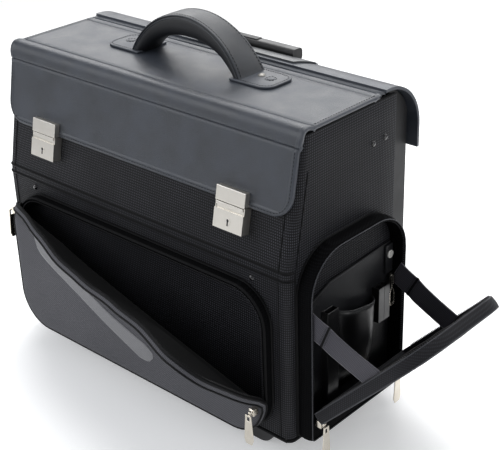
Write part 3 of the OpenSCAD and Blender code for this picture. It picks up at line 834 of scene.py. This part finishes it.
def gripPoint(angle, radius, y):
    a = math.radians(angle)
    return Vector((radius * math.sin(a), grip["middle"] + y, gripCentre + radius * math.cos(a)))


def gripHalfWidth(angle):
    return mix(grip["halfApex"], grip["halfFoot"], (abs(angle) / gripReach) ** 2)


def gripRing(angle, section):
    # the padding is deepest in the middle of the handle
    swell = mix(2.5, 1.0, (abs(angle) / gripReach) ** 1.6)
    return [gripPoint(angle, gripRadius - (depth if depth < 3 else 3 + (depth - 3) * swell),
                      side * gripHalfWidth(angle)) for side, depth in section]


def closedSweep(section, angles):
    rows = [gripRing(a, section + section[:1]) for a in angles]
    bm = gridOf(rows)
    bmesh.ops.remove_doubles(bm, verts=bm.verts, dist=0.01)
    ends = [e for e in bm.edges if e.is_boundary]
    bmesh.ops.holes_fill(bm, edges=ends, sides=0)
    return bm


def makeHandle():
    steps = 44
    angles = [mix(-gripReach, gripReach, i / steps) for i in range(steps + 1)]
    # the padded roll under the strap, rounder below, as (share of the half width, depth)
    under = [(0.90, 2.4), (0.965, 3.2), (0.99, 5.0), (0.985, 7.6), (0.91, 10.0), (0.72, 12.0), (0.38, 12.9),
             (0.0, 13.0)]
    under += [(-s, d) for s, d in reversed(under[:-1])]
    # the pad takes the darkened leather: its colour paints the shade under the strap
    pad = finish("handle_pad", closedSweep(under, angles), "lid", darkLeather,
                 replaces=("carry_handle",), sharp=60)
    # the sewn top strap, crowned a little, with thinned edges
    over = [(0.0, 0.0), (0.45, 0.15), (0.80, 0.6), (0.93, 0.9), (0.99, 1.3), (1.0, 2.0), (0.97, 2.7),
            (0.85, 2.9), (0.0, 2.9)]
    over += [(-s, d) for s, d in reversed(over[1:-1])]
    finish("handle_strap", closedSweep(over, angles), "lid", handleLeather, sharp=60)
    seams = [[gripPoint(a, gripRadius - 0.55, s * (gripHalfWidth(a) - 3.2)) for a in angles] for s in (-1, 1)]
    sides = [[gripPoint(a, gripRadius - 4.6, s * gripHalfWidth(a) * 0.985) for a in angles] for s in (-1, 1)]
    finish("handle_stitching", stitches(seams, radius=0.5), "lid", waxedThread, merge=False,
           outward=False)
    welts = tube(sides[0], 0.7)
    join(welts, tube(sides[1], 0.7))
    finish("handle_side_welts", welts, "lid", handleLeather)


makeHandle()

tab = {
    "low": boxMm("handle_tabs")[0].z,
    "high": boxMm("handle_tabs")[1].z,
    "outer": boxMm("handle_tabs")[1].x,
    "half": (boxMm("handle_tabs")[1].y - boxMm("handle_tabs")[0].y) / 2,
    "inner": 73,
    "rivet": (96, 4, 4.4),
    "ring": (111, 2, 6.2),
}


def tabOutline(inset=0):
    # a straight inner end and a rounded outer end
    o, h, n = tab["outer"] - inset, tab["half"] - inset, tab["inner"] + inset
    r = 15 - inset
    points = [(n, -h)] + arcPoints((o - r, -h + r), r, -90, -14, 6)
    return points + [(x, -y) for x, y in reversed(points)]


def dome(bm, centre, axis, radius, height, rim=0.6):
    # a domed rivet head, spun about its axis
    turn = Vector((0, 0, 1)).rotation_difference(Vector(axis)).to_matrix().to_4x4()
    place = Matrix.Translation(Vector(centre)) @ turn
    profile = [(0, height), (radius * 0.4, height * 0.93), (radius * 0.75, height * 0.68),
               (radius * 0.95, rim), (radius, rim * 0.4), (radius * 0.98, 0)]
    verts = [bm.verts.new(place @ Vector((r, 0, h))) for r, h in profile]
    edges = [bm.edges.new(pair) for pair in zip(verts, verts[1:])]
    spot = place @ Vector((0, 0, 0))
    bmesh.ops.spin(bm, geom=verts + edges, cent=spot, axis=turn @ Vector((0, 0, 1)),
                   angle=2 * math.pi, steps=24, use_merge=True)


def makeTabs():
    tabs, seams = bmesh.new(), []
    for side in (-1, 1):
        def spot(p, z):
            return Vector((side * p[0], grip["middle"] + p[1], z))
        sheet = slab([spot(p, tab["low"]) for p in tabOutline()], (0, 0, tab["high"] - tab["low"]))
        bmesh.ops.recalc_face_normals(sheet, faces=sheet.faces)
        roundEdges(sheet, 0.9)
        join(tabs, sheet)
        route = tabOutline(3.2)
        seams.append([spot(p, tab["high"] + 0.1) for p in route + route[:1]])
        cx, cy, r = tab["ring"]
        dome(tabs, (side * cx, grip["middle"] + cy, tab["high"] - 0.1), (0, 0, 1), r - 1.6, 1.1)
        seams.append([spot((cx + r * math.cos(a / 8 * math.pi), cy + r * math.sin(a / 8 * math.pi)),
                           tab["high"] + 0.1) for a in range(17)])
    finish("handle_tab_leather", tabs, "lid", caseLeather, replaces=("handle_tabs",), sharp=50)
    finish("tab_stitching", stitches(seams, pitch=3.4, length=2.4), "lid", waxedThread,
           merge=False, outward=False)


makeTabs()


rivet = {
    "radius": 3.6,
    "height": 2.2,
    "front": (180, 220),              # x to each side, and z
    "ends": ((32, 338), (53, 339)),   # y and z
}


def makeRivets():
    bright = bmesh.new()
    for side in (-1, 1):
        x, y, r = tab["rivet"]
        dome(bright, (side * x, grip["middle"] + y, tab["high"]), (0, 0, 1), r, rivet["height"])
    finish("handle_rivet_heads", bright, "lid", dullNickel, replaces=("handle_rivets",))
    black = bmesh.new()
    for side in (-1, 1):
        x, z = rivet["front"]
        dome(black, (side * x, body["front"], z), (0, -1, 0), rivet["radius"], rivet["height"])
        for y, z in rivet["ends"]:
            dome(black, (side * body["halfLength"], y, z), (side, 0, 0), rivet["radius"], rivet["height"])
    finish("body_rivet_heads", black, "case", blackEnamel, replaces=("body_rivets",))


makeRivets()
print("handle made")

# locks

def makeLocks():
    softenedCopy("hasp_plates", "front_flap", satinNickel, edge=0.7, segments=3)
    for side in ("left", "right"):
        softenedCopy("lock_body_" + side, "case", satinNickel, edge=0.9, segments=3)
        softenedCopy("lock_slider_" + side, "lock_slider_" + side, satinNickel, edge=0.4)
        softenedCopy("key_plug_" + side, "key_plug_" + side, satinNickel, edge=0.25)


makeLocks()


def keyholeOutline(wide=1.7, slot=1.0, drop=4.6):
    bow = arcPoints((0, 1.4), wide, -55, 235, 12)
    return bow + [(-slot, -drop), (slot, -drop)]


def makeKeyholes():
    # a thin black slab on each plug's face: painted shade standing for the dark hollow of the keyhole
    for side in ("left", "right"):
        low, high = boxMm("key_plug_" + side)
        centre = (low + high) / 2
        plugFace = max(abs((Vector(v.co) / mm - centre).dot(acrossFace))
                       for v in frame["nodes"]["key_plug_" + side].data.vertices)
        spots = [Vector((centre.x + x, centre.y, centre.z)) - faceWay * z + acrossFace * (plugFace - 0.25)
                 for x, z in keyholeOutline()]
        keyholeShade = slab(spots, acrossFace * 0.3)
        finish("keyhole_shade_" + side, keyholeShade, "key_plug_" + side, blackEnamel)


makeKeyholes()
print("locks made")

# front pocket

pocketJoint = joints["front_pocket_fold"]
pocket = {
    "half": 207,
    "low": boxMm("front_pocket_rim")[0].z,
    "high": boxMm("front_pocket_rim")[1].z,
    "radius": 45,
    "face": boxMm("front_pocket_panel")[0].y,
    "back": boxMm("front_pocket_panel")[1].y,
    "rimFront": boxMm("front_pocket_rim")[0].y,
    "open": -math.radians(pocketJoint["range_deg"][0]),
    "edgeRadius": 4,
    "wall": 2.6,
}
foldPoint = Vector(pocketJoint["pos_m"]) / mm
foldWay = Vector(pocketJoint["axis"]).normalized()
foldUp = Vector((-foldWay.z, 0, foldWay.x)).normalized()      # up the closed pocket, square to the fold
foldOut = Vector((0, -1, 0))
blendHalf = 16                                                # how far the bend reaches to each side


def foldAxes():
    # the blend runs from the panel side to the flap side, along the half-open bisector
    half = pocket["open"] / 2
    way = foldUp * math.cos(half) + foldOut * math.sin(half)
    return foldPoint - way * blendHalf, foldPoint + way * blendHalf


foldStart, foldEnd = foldAxes()


def foldShare(point):
    span = foldEnd - foldStart
    return smooth((point - foldStart).dot(span) / span.length_squared)


def opened(point):
    # where a point of the closed pocket lies when it hangs open; the share of the turn
    # is the one that the blend gives at the opened place, found by halving
    point = Vector(point)
    low, high = 0.0, 1.0
    for _ in range(26):
        share = (low + high) / 2
        turned = turnAboutFold(point, share)
        if foldShare(turned) > share:
            low = share
        else:
            high = share
    return turnAboutFold(point, (low + high) / 2)


def turnAboutFold(point, share):
    turn = Matrix.Rotation(pocket["open"] * share, 3, foldWay)
    return foldPoint + turn @ (point - foldPoint)


# how far the limp cloth hangs out (or in) along the free edge, from left to right
sagSteps = ((0, 0), (0.1, -1), (0.2, 4), (0.34, 9), (0.45, 7), (0.6, 1), (0.72, -3), (0.85, 0), (1, 3))


def sagAt(share):
    for (a, first), (b, second) in zip(sagSteps, sagSteps[1:]):
        if share <= b:
            return mix(first, second, smooth((share - a) / (b - a)))
    return sagSteps[-1][1]


def hung(point):
    # the opened place of a point, with the cloth's sag and a few soft creases
    point = Vector(point)
    across = min(max((point.x + pocket["half"]) / (2 * pocket["half"]), 0), 1)
    rise = min(max((point.z - pocket["low"]) / (pocket["high"] - pocket["low"]), 0), 1)
    alongFold = (point - foldPoint).dot(foldWay) / foldLength
    aboveFold = (point - foldPoint).dot(foldUp)
    bulge = 2.2 * math.sin(math.pi * across) * math.sin(math.pi * rise)
    crease = noise.noise(Vector((point.x * 0.014, point.z * 0.024, 3.7))) * 1.1
    crease *= smooth(min(rise, 1 - rise) * 5) * smooth(min(across, 1 - across) * 8)
    away = sagAt(max(alongFold, 0)) * smooth(aboveFold / 45) + bulge + crease
    return opened(point) + hangWay * away


foldLength = 2 * pocket["half"] / foldWay.x
hangWay = Matrix.Rotation(pocket["open"], 3, foldWay) @ foldOut


def pocketRing(inset, y, steps=10, between=26):
    # the pocket's outline at a depth, with even points along its straight sides
    r = max(pocket["radius"] - inset, 4)
    w, h = pocket["half"] - inset, (pocket["high"] - pocket["low"]) / 2 - inset
    middle = (pocket["low"] + pocket["high"]) / 2
    points = []
    corners = ((w - r, -h + r, -90), (w - r, h - r, 0), (-w + r, h - r, 90), (-w + r, -h + r, 180))
    for k, (cx, cz, start) in enumerate(corners):
        arc = arcPoints((cx, cz), r, start, start + 90, steps)
        points += arc
        nx, nz, nextStart = corners[(k + 1) % 4]
        first = arcPoints((nx, nz), r, nextStart, nextStart, 1)[0]
        count = between if k in (1, 3) else 8
        last = arc[-1]
        points += [(mix(last[0], first[0], i / count), mix(last[1], first[1], i / count))
                   for i in range(1, count)]
    return [(x, y, middle + z) for x, z in points]


def pocketShell():
    # rings from the zip edge, round the front edge and in to the middle of the face
    e = pocket["edgeRadius"]
    rings = [(0, pocket["back"]), (0, pocket["back"] - 1.8), (0, pocket["face"] + e)]
    rings += [(e - e * math.cos(a), pocket["face"] + e - e * math.sin(a))
              for a in [math.radians(d) for d in (22, 45, 68)]]
    rings += [(e, pocket["face"])]
    rings += [(mix(e, 80, t), pocket["face"]) for t in (0.06, 0.14, 0.24, 0.36, 0.5, 0.64, 0.78, 0.9, 1.0)]
    rows = [pocketRing(inset, y) for inset, y in rings]
    rows = [row + row[:1] for row in rows]
    return rows


def makePocketCloth():
    rows = pocketShell()
    bm = gridOf(rows)
    bmesh.ops.remove_doubles(bm, verts=bm.verts, dist=0.01)
    inner = [e for e in bm.edges
             if e.is_boundary and all(abs(v.co.y - pocket["face"]) < 0.01 for v in e.verts)]
    bmesh.ops.holes_fill(bm, edges=inner, sides=0)
    # the last face is cut into strips so that it can bend with the rest
    for step in range(-5, 6):
        plane = foldPoint + foldUp * step * 5
        bmesh.ops.bisect_plane(bm, geom=bm.verts[:] + bm.edges[:] + bm.faces[:], dist=0.0001,
                               plane_co=plane, plane_no=foldUp)
    bmesh.ops.triangulate(bm, faces=[f for f in bm.faces if len(f.verts) > 4])
    for v in bm.verts:
        v.co = hung(v.co)
    bm.normal_update()
    faceAwayFrom(bm, (0, -60, 120))
    # the lining lies just inside the cloth and faces into the pocket
    lining = bm.copy()
    lining.normal_update()
    inward = {v: v.co - v.normal * (pocket["wall"] + 0.4) for v in lining.verts}
    for v, place in inward.items():
        v.co = place
    bmesh.ops.reverse_faces(lining, faces=lining.faces)
    piece = finish("pocket_lining", lining, None, liningCloth, outward=False, merge=False, sharp=70)
    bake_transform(piece)
    piece = finish("pocket_cloth", bm, None, pocketNylon, outward=False, merge=False,
                   replaces=("front_pocket_panel", "front_pocket_flap"), sharp=70)
    thicken(piece, pocket["wall"])
    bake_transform(piece)


makePocketCloth()


def makePocketTrim():
    # dark binding round the free edge, with the zip's teeth on it
    edge = pocketRing(1.3, pocket["back"] + 0.2)
    edge = [hung(p) for p in edge]
    piece = finish("pocket_binding", tube(edge, 2.3, closed=True), None, bindingTape)
    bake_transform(piece)
    seams = bmesh.new()
    join(seams, tube([hung(p) for p in pocketRing(0.6, pocket["face"] + 1.3)], 1.2, closed=True))
    piece = finish("pocket_wall_piping", seams, None, bindingTape)
    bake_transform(piece)
    teeth = zipTeeth([hung(p) for p in pocketRing(2.6, pocket["back"] + 1.4)], lambda p: (0, 1, 0),
                     closed=True)
    piece = finish("pocket_edge_teeth", teeth, None, zipNylon, merge=False, outward=False)
    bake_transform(piece)
    # the rim on the case, between two lines of piping
    rim = pocket["rimFront"]
    ring = bmesh.new()
    for inset, y, radius in ((1.6, rim + 1.6, 1.7), (6.4, rim + 4.0, 1.5), (-0.3, body["front"] - 1.2, 1.3)):
        join(ring, tube(pocketRing(inset, y), radius, closed=True))
    finish("pocket_rim_piping", ring, "case", bindingTape)
    teeth = zipTeeth(pocketRing(4.6, rim + 0.6), lambda p: (0, -1, 0), closed=True)
    finish("pocket_zip_teeth", teeth, "case", zipNylon, merge=False, outward=False)
    # the rim band between the pipings is in the darkened frame nylon, whose colour paints shade into the
    # recess
    rows = [pocketRing(inset, y) for inset, y in ((0, body["front"] + 0.3), (0, rim + 2), (1.0, rim + 0.6),
                                                 (2.4, rim + 0.2), (5.0, rim + 1.0), (6.5, rim + 3),
                                                 (7.5, body["front"] + 0.2))]
    band = gridOf([row + row[:1] for row in rows])
    finish("pocket_rim_cloth", band, "case", frameNylonPaintedShade, replaces=("front_pocket_rim",),
           sharp=60)


makePocketTrim()


def makeAccent():
    # a pale strip sewn on below the fold, wider at its left end
    columns = 36
    upper = ((-168, 188), (-146, 170), (-126, 154), (-84, 128), (-36, 107), (24, 87), (38, 82))
    lower = ((-168, 156), (-160, 143), (-146, 135), (-110, 120), (-52, 92), (16, 62), (30, 62), (38, 65))
    rows = []
    for share in (0, 0.04, 0.12, 0.4, 0.7, 0.9, 0.97, 1):
        row = []
        for i in range(columns + 1):
            x = mix(upper[0][0], upper[-1][0], i / columns)
            low, high = heightOn(lower, x), heightOn(upper, x)
            ends = min(i, columns - i) / columns
            tuck = (1 - math.sqrt(1 - (1 - min(ends * 18, 1)) ** 2)) * 0.3
            z = mix(low, high, mix(tuck, 1 - tuck, share))
            lift = 1.1 if 0.02 < share < 0.99 and 0 < i < columns else 0.2
            row.append(hung((x, pocket["face"], z)) + hangAcross(z, x) * lift)
        rows.append(row)
    bm = gridOf(rows)
    faceAwayFrom(bm, (0, -60, 120))
    piece = finish("accent_strip", bm, None, accentCloth, outward=False, sharp=60)
    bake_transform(piece)


def heightOn(steps, x):
    for (a, first), (b, second) in zip(steps, steps[1:]):
        if x <= b:
            return mix(first, second, (x - a) / (b - a))
    return steps[-1][1]


def hangAcross(z, x):
    # which way the cloth faces where it turns over the fold
    share = foldShare(opened((x, pocket["face"], z)))
    return Matrix.Rotation(pocket["open"] * share, 3, foldWay) @ foldOut


makeAccent()
print("front pocket made")

# zip sliders and pulls

def makeZips():
    for node in ("front_zip_sliders", "end_zip_sliders"):
        softenedCopy(node, "case", polishedNickel, edge=0.7)
    for node in ("front_pull_left", "front_pull_right", "end_pull_front", "end_pull_rear"):
        softenedCopy(node, node, polishedNickel, edge=0.4, segments=2)


makeZips()

# end pocket

trayJoint = joints["end_tray_hinge"]
trayHinge = Vector(trayJoint["pos_m"]) / mm
endPocket = {
    "front": boxMm("end_pocket_frame")[0].y,
    "rear": boxMm("end_pocket_frame")[1].y,
    "low": boxMm("end_pocket_frame")[0].z,
    "high": boxMm("end_pocket_frame")[1].z,
    "wall": boxMm("end_pocket_frame")[0].x,
    "mouth": boxMm("end_pocket_frame")[1].x,
    "corner": 50,
    "cloth": 3,
    "open": -math.radians(trayJoint["range_deg"][0]),
    "trayDepth": 15,
    "apronTop": trayHinge.z - 4,
}


def archRing(low, high, inset, foot=5, steps=9):
    # the pocket's outline in y and z: round shoulders over a nearly square foot
    front, rear = endPocket["front"] + inset, endPocket["rear"] - inset
    low, high = low + inset, high - inset
    r, q = endPocket["corner"] - inset, max(foot - inset, 1)
    ring = arcPoints((front + q, low + q), q, 270, 180, 3)
    ring += [(front, mix(low + q, high - r, i / 10)) for i in range(1, 10)]
    ring += arcPoints((front + r, high - r), r, 180, 90, steps)
    ring += [(mix(front + r, rear - r, i / 6), high) for i in range(1, 6)]
    ring += arcPoints((rear - r, high - r), r, 90, 0, steps)
    ring += [(rear, mix(high - r, low + q, i / 10)) for i in range(1, 10)]
    ring += arcPoints((rear - q, low + q), q, 0, -90, 3)
    ring += [(mix(rear - q, front + q, i / 12), low) for i in range(1, 12)]
    return ring


def puckered(y, z, out, amount):
    # the cloth wall between its seams, drawn in a little where it turns
    return noise.noise(Vector((y * 0.035, z * 0.035, out * 0.1 + 9.1))) * amount


def makeEndFrame():
    wall, mouth = endPocket["wall"], endPocket["mouth"]
    section = ((wall + 0.2, 0.2), (wall + 1.5, -0.6), (wall + 5, -1.5), (wall + 9, -1.9), (wall + 13, -1.6),
               (wall + 16.5, -0.8), (mouth - 1.8, 0.1), (mouth - 0.6, 0.9), (mouth, 1.9), (mouth - 0.8, 2.8),
               (mouth - 3, 3.1), (wall + 8, 3.1), (wall + 0.2, 3.0))
    rows = []
    for x, inset in section:
        ring = archRing(endPocket["low"], endPocket["high"], inset)
        bulge = 0.8 if wall + 3 < x < mouth - 3 and inset < 0 else 0
        row = [Vector((x + puckered(y, z, x, bulge) * 0.4, y, z)) for y, z in ring]
        rows.append(row + row[:1])
    bm = gridOf(rows)
    bmesh.ops.remove_doubles(bm, verts=bm.verts, dist=0.01)
    # the low board that the tray hangs from
    near, far = endPocket["front"] + 3, endPocket["rear"] - 3
    foot, head = endPocket["low"] + 2, endPocket["apronTop"]
    apron = slab([(mouth - endPocket["cloth"], y, z) for y, z in
                  ((near, foot), (far, foot), (far, head), (near, head))],
                 (endPocket["cloth"] - 0.6, 0, 0))
    roundEdges(apron, 0.9)
    join(bm, apron)
    # the frame's cloth is the darkened nylon: its colour paints in the shade on the frame's walls
    finish("end_frame_cloth", bm, "case", frameNylonPaintedShade, replaces=("end_pocket_frame",), sharp=60)

    # a dark welt against the board, a pale one along the mouth, and the zip between
    def rim(inset, x):
        ring = archRing(endPocket["low"], endPocket["high"], inset)
        return [(x, y, z) for y, z in ring]
    finish("end_frame_welt", tube(rim(-0.9, wall + 0.9), 1.2, closed=True), "case",
           bindingTape)
    finish("end_mouth_piping", tube(rim(0.7, mouth - 0.2), 0.6, closed=True), "case",
           palePiping)
    teeth = zipTeeth([p for p in rim(3.0, mouth - 1.6) if p[2] > trayHinge.z - 6], lambda p: (1, 0, 0))
    finish("end_frame_teeth", teeth, "case", zipNylon, merge=False, outward=False)


makeEndFrame()


def onTray(out, y, up):
    # a point of the shut tray, out from the mouth and up from the hinge, where it lies when open
    turn = Matrix.Rotation(endPocket["open"], 3, "Y")
    return trayHinge * Vector((1, 0, 1)) + turn @ Vector((out, y, up))


def trayRing(inset, length):
    # the tray's outline, which shrinks toward its middle once its round corners are used up
    cornersEnd = endPocket["corner"] - 1
    if inset <= cornersEnd:
        return archRing(0, length, inset)
    middle = (endPocket["front"] + endPocket["rear"]) / 2
    across, along = (82 - inset) / 34, 1 - (inset - cornersEnd) / 60
    return [(middle + (y - middle) * across, length / 2 + (z - length / 2) * along)
            for y, z in archRing(0, length, cornersEnd + 0.5)]


def makeEndTray():
    length = endPocket["high"] - trayHinge.z
    depth, cloth = endPocket["trayDepth"], endPocket["cloth"]
    # both faces run from the zip edge to the middle, as (out from the mouth, in from the outline)
    outside = ((0.5, 2.9), (0.4, 1.0), (0.9, 0.3), (2.5, 0.0), (7.5, -0.5), (12, -0.2), (13.6, 0.3),
               (14.7, 1.4), (15, 3.0), (15.2, 9), (15.4, 20), (15.4, 36), (15.4, 56), (15.4, 76))
    inside = ((0.5, 2.9), (3, 3.1), (depth - cloth - 0.6, 3.2), (depth - cloth, 5), (depth - cloth, 20),
              (depth - cloth, 50), (depth - cloth, 76))
    bm = bmesh.new()
    for section, slack in ((outside, 1.0), (inside, 0)):
        rows = []
        for out, inset in section:
            pucker = slack if inset > 8 else 0
            row = [onTray(out + puckered(y, z, 4, pucker), y, z) for y, z in trayRing(inset, length)]
            rows.append(row + row[:1])
        sheet = gridOf(rows)
        bmesh.ops.remove_doubles(sheet, verts=sheet.verts, dist=0.01)
        last = [e for e in sheet.edges if e.is_boundary
                and all(any((v.co - p).length < 0.02 for p in rows[-1]) for v in e.verts)]
        bmesh.ops.contextual_create(sheet, geom=last)
        join(bm, sheet)
    bmesh.ops.remove_doubles(bm, verts=bm.verts, dist=0.02)
    bmesh.ops.triangulate(bm, faces=[f for f in bm.faces if len(f.verts) > 4])
    finish("end_tray_cloth", bm, "end_tray", trayNylon, replaces=("end_pocket_tray",),
           sharp=60)
    welts = bmesh.new()
    for inset, out, radius in ((0.5, 0.9, 0.6), (0.6, 13.9, 0.75)):
        join(welts, tube([onTray(out, y, z) for y, z in archRing(0, length, inset)], radius, closed=True))
    finish("end_tray_piping", welts, "end_tray", palePiping)
    edge = [(y, z) for y, z in archRing(0, length, 2.4) if z > 6]
    teeth = zipTeeth([onTray(0.3, y, z) for y, z in edge],
                     lambda p: onTray(-1, 0, 0) - onTray(0, 0, 0))
    finish("end_tray_teeth", teeth, "end_tray", zipNylon, merge=False, outward=False)


makeEndTray()


def makeTrayPocket():
    # the tray's inner pocket: limp lining, bagged at its mouth under an elastic hem
    front, rear = endPocket["front"] + 7, endPocket["rear"] - 7
    rows = []
    for k in range(11):
        up = mix(3.6, 98, k / 10)
        row = []
        for i in range(25):
            y = mix(front, rear, i / 24)
            bag = math.sin(math.pi * i / 24) * (k / 10) ** 2 * 2.2
            row.append(onTray(4.6 - bag + puckered(y, up, 1, 1.2) * (k / 10), y, up))
        rows.append(row)
    bm = gridOf(rows)
    faceAwayFrom(bm, onTray(15, (front + rear) / 2, 50))
    piece = finish("tray_pocket_lining", bm, "end_tray", liningCloth, outward=False,
                   replaces=("tray_inner_pocket",))
    thicken(piece, 1.0)
    hem = finish("tray_pocket_hem", tube(rows[-1], 1.1), "end_tray", bindingTape)


makeTrayPocket()

strap = {
    "halfWidth": 14,
    "thick": 1.6,
    "tops": {"strap_front": 182, "strap_rear": 174},
    "reach": {"strap_front": 109, "strap_rear": 92},
    "band": 27,               # the doubled, sewn part starts this far from the frame
}


def makeStrap(node, name):
    # webbing in two laps: it droops a little from the frame to a sewn band, then runs taut
    low, high = boxMm(node)
    y = (low.y + high.y) / 2
    head = Vector((endPocket["mouth"] - 10, y, strap["tops"][node]))
    foot = onTray(0, y, strap["reach"][node])
    span = (foot - head).length
    run = (foot - head) / span
    across = Vector((-run.z, 0, run.x))
    side = Vector((0, 1, 0))

    def webbing(starts, ends, lift, half, steps):
        rows = []
        for k in range(steps + 1):
            reach = mix(starts, ends, k / steps)
            sag = -1.6 * math.sin(math.pi * min(max(reach / span, 0), 1)) + 1.0 * math.exp(
                -((reach - strap["band"]) / 7) ** 2)
            twist = 0.5 * math.sin(reach * 0.07)
            rows.append([head + run * reach + across * (half * t + sag) + side * (lift + twist * t * 0.6)
                         for t in (-1, -0.94, -0.6, -0.2, 0.2, 0.6, 0.94, 1)])
        return rows

    facing = -1 if node == "strap_front" else 1
    bm = gridOf(webbing(0.5, span + 4.5, 0, strap["halfWidth"], 44), withLengths=True)
    faceAwayFrom(bm, head + side * 40 * facing)
    lap = finish(name, bm, None, strapWebbing, outward=False, replaces=(node,), sharp=60,
                 merge=False)
    thicken(lap, strap["thick"], 0)
    bandRows = webbing(strap["band"] - 1.4, strap["band"] + 1.4, 0, strap["halfWidth"] + 0.25, 4)
    band = finish(name + "_band", gridOf(bandRows, withLengths=True), None, bindingTape,
                  outward=False, merge=False)
    thicken(band, strap["thick"] + 0.7, 0)
    # a row of stitches on both faces, to each side of the band
    rows = []
    clear = strap["thick"] / 2 + 0.05
    for reach in (strap["band"] - 3.2, strap["band"] + 3.2):
        line = webbing(reach, reach + 0.1, 0, strap["halfWidth"] - 1, 1)[0]
        rows += [[p + side * clear for p in line], [p - side * clear for p in line]]
    thread = finish(name + "_stitches", stitches(rows, pitch=2.6, length=1.9, radius=0.35), None,
                    waxedThread, merge=False, outward=False)
    for piece in (lap, band, thread):
        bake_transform(piece)


makeStrap("strap_front", "strap_front_webbing")
makeStrap("strap_rear", "strap_rear_webbing")


def makeOrganiser():
    low, high = boxMm("organiser_panel")
    face = high.x
    # the panel's upper edge slopes down toward the front, under a folded hem
    outline = [(low.y, low.z), (high.y, low.z), (high.y, high.z), (low.y + 40, high.z - 6),
               (low.y, high.z - 22)]
    panel = slab([(low.x, y, z) for y, z in outline], (high.x - low.x, 0, 0))
    roundEdges(panel, 0.5)
    finish("organiser_leather", panel, "case", darkLeather, replaces=("organiser_panel",))
    hem = [(face - 0.3, y, z) for y, z in (outline[2], outline[3], outline[4])]
    finish("organiser_hem", tube(hem, 1.5), "case", glossLeather)


makeOrganiser()


def makePhonePocket():
    # a bellied leather pocket, its mouth slanting up toward the front
    low, high = boxMm("phone_pocket")
    back = boxMm("organiser_panel")[1].x
    columns, levels = 20, 12
    rows = []
    for k in range(levels + 1):
        up = k / levels
        row = []
        for i in range(columns + 1):
            t = i / columns
            half = mix(31, 34.5, up)
            y = (low.y + high.y) / 2 + mix(-half, half, t)
            top = mix(high.z, high.z - 12, t)
            z = mix(low.z, top, up)
            belly = (1 - abs(2 * t - 1) ** 4) * (0.55 + 0.45 * smooth(up * 1.4))
            foot = smooth(up * 5)
            row.append((back + 0.3 + (high.x - back - 0.4) * belly * mix(0.35, 1, foot), y, z))
        rows.append(row)
    bm = gridOf(rows)
    faceAwayFrom(bm, (back - 20, (low.y + high.y) / 2, (low.z + high.z) / 2))
    piece = finish("phone_pocket_leather", bm, "case", glossLeather, outward=False,
                   replaces=("phone_pocket",), sharp=70)
    thicken(piece, 1.4)
    edge = [Vector(p) for p in rows[-1]]
    finish("phone_pocket_hem", tube(edge, 0.9), "case", darkLeather)
    lines = [[Vector(p) + Vector((0.1, 0, 0)) for p in (r[1] for r in rows)],
             [Vector(p) + Vector((0.1, 0, 0)) for p in (r[-2] for r in rows)],
             [Vector(p) - Vector((-0.1, 0, 4)) for p in rows[-1][1:-1]]]
    finish("phone_pocket_stitches", stitches(lines, pitch=3.2, length=2.2, radius=0.35), "case",
           waxedThread, merge=False, outward=False)


makePhonePocket()
for node in ("slim_pocket", "pen_loops"):
    softenedCopy(node, "case", glossLeather, edge=0.6, segments=3)
softenedCopy("key_tab", "case", darkLeather, edge=0.8, segments=3)
softenedCopy("snap_stud", "case", whiteEnamel, edge=0.8, segments=3)
softenedCopy("key_hook", "key_hook", polishedNickel, edge=0.7, segments=3)
print("end pocket made")

# trolley, wheels and feet

def makeRunningGear():
    softenedCopy("trolley_bezel", "case", bezelAbs, edge=0.8, segments=3)
    softenedCopy("trolley_grip", "trolley_upper", gripAbs, edge=3.6, segments=4)
    softenedCopy("release_button", "release_button", blackAbs, edge=0.6)
    softenedCopy("wheel_housings", "case", blackAbs, edge=0.8)
    softenedCopy("rear_housing", "case", blackAbs, edge=1.2)
    softenedCopy("base_board", "case", blackAbs, edge=1.0)
    softenedCopy("front_feet", "case", blackAbs, edge=1.2, segments=3)
    for side in ("left", "right"):
        softenedCopy("wheel_hub_" + side, "wheel_" + side, blackAbs, edge=0.6)
        softenedCopy("wheel_tyre_" + side, "wheel_" + side, tyreRubber, edge=0.8)


makeRunningGear()

plainNodes = {
    "false_back": liningCloth,
    "outer_tubes": drawnAluminium,
    "middle_tubes": drawnAluminium,
    "inner_tubes": drawnAluminium,
    "release_rods": drawnAluminium,
    "wheel_axles": axleSteel,
    "tube_bushes": blackAbs,
    "tube_foot_blocks": blackAbs,
}
for nodeName, nodeMaterial in plainNodes.items():
    mesh = frame["nodes"][nodeName].data
    mesh.materials.clear()
    mesh.materials.append(nodeMaterial)
print("trolley, wheels and feet made")
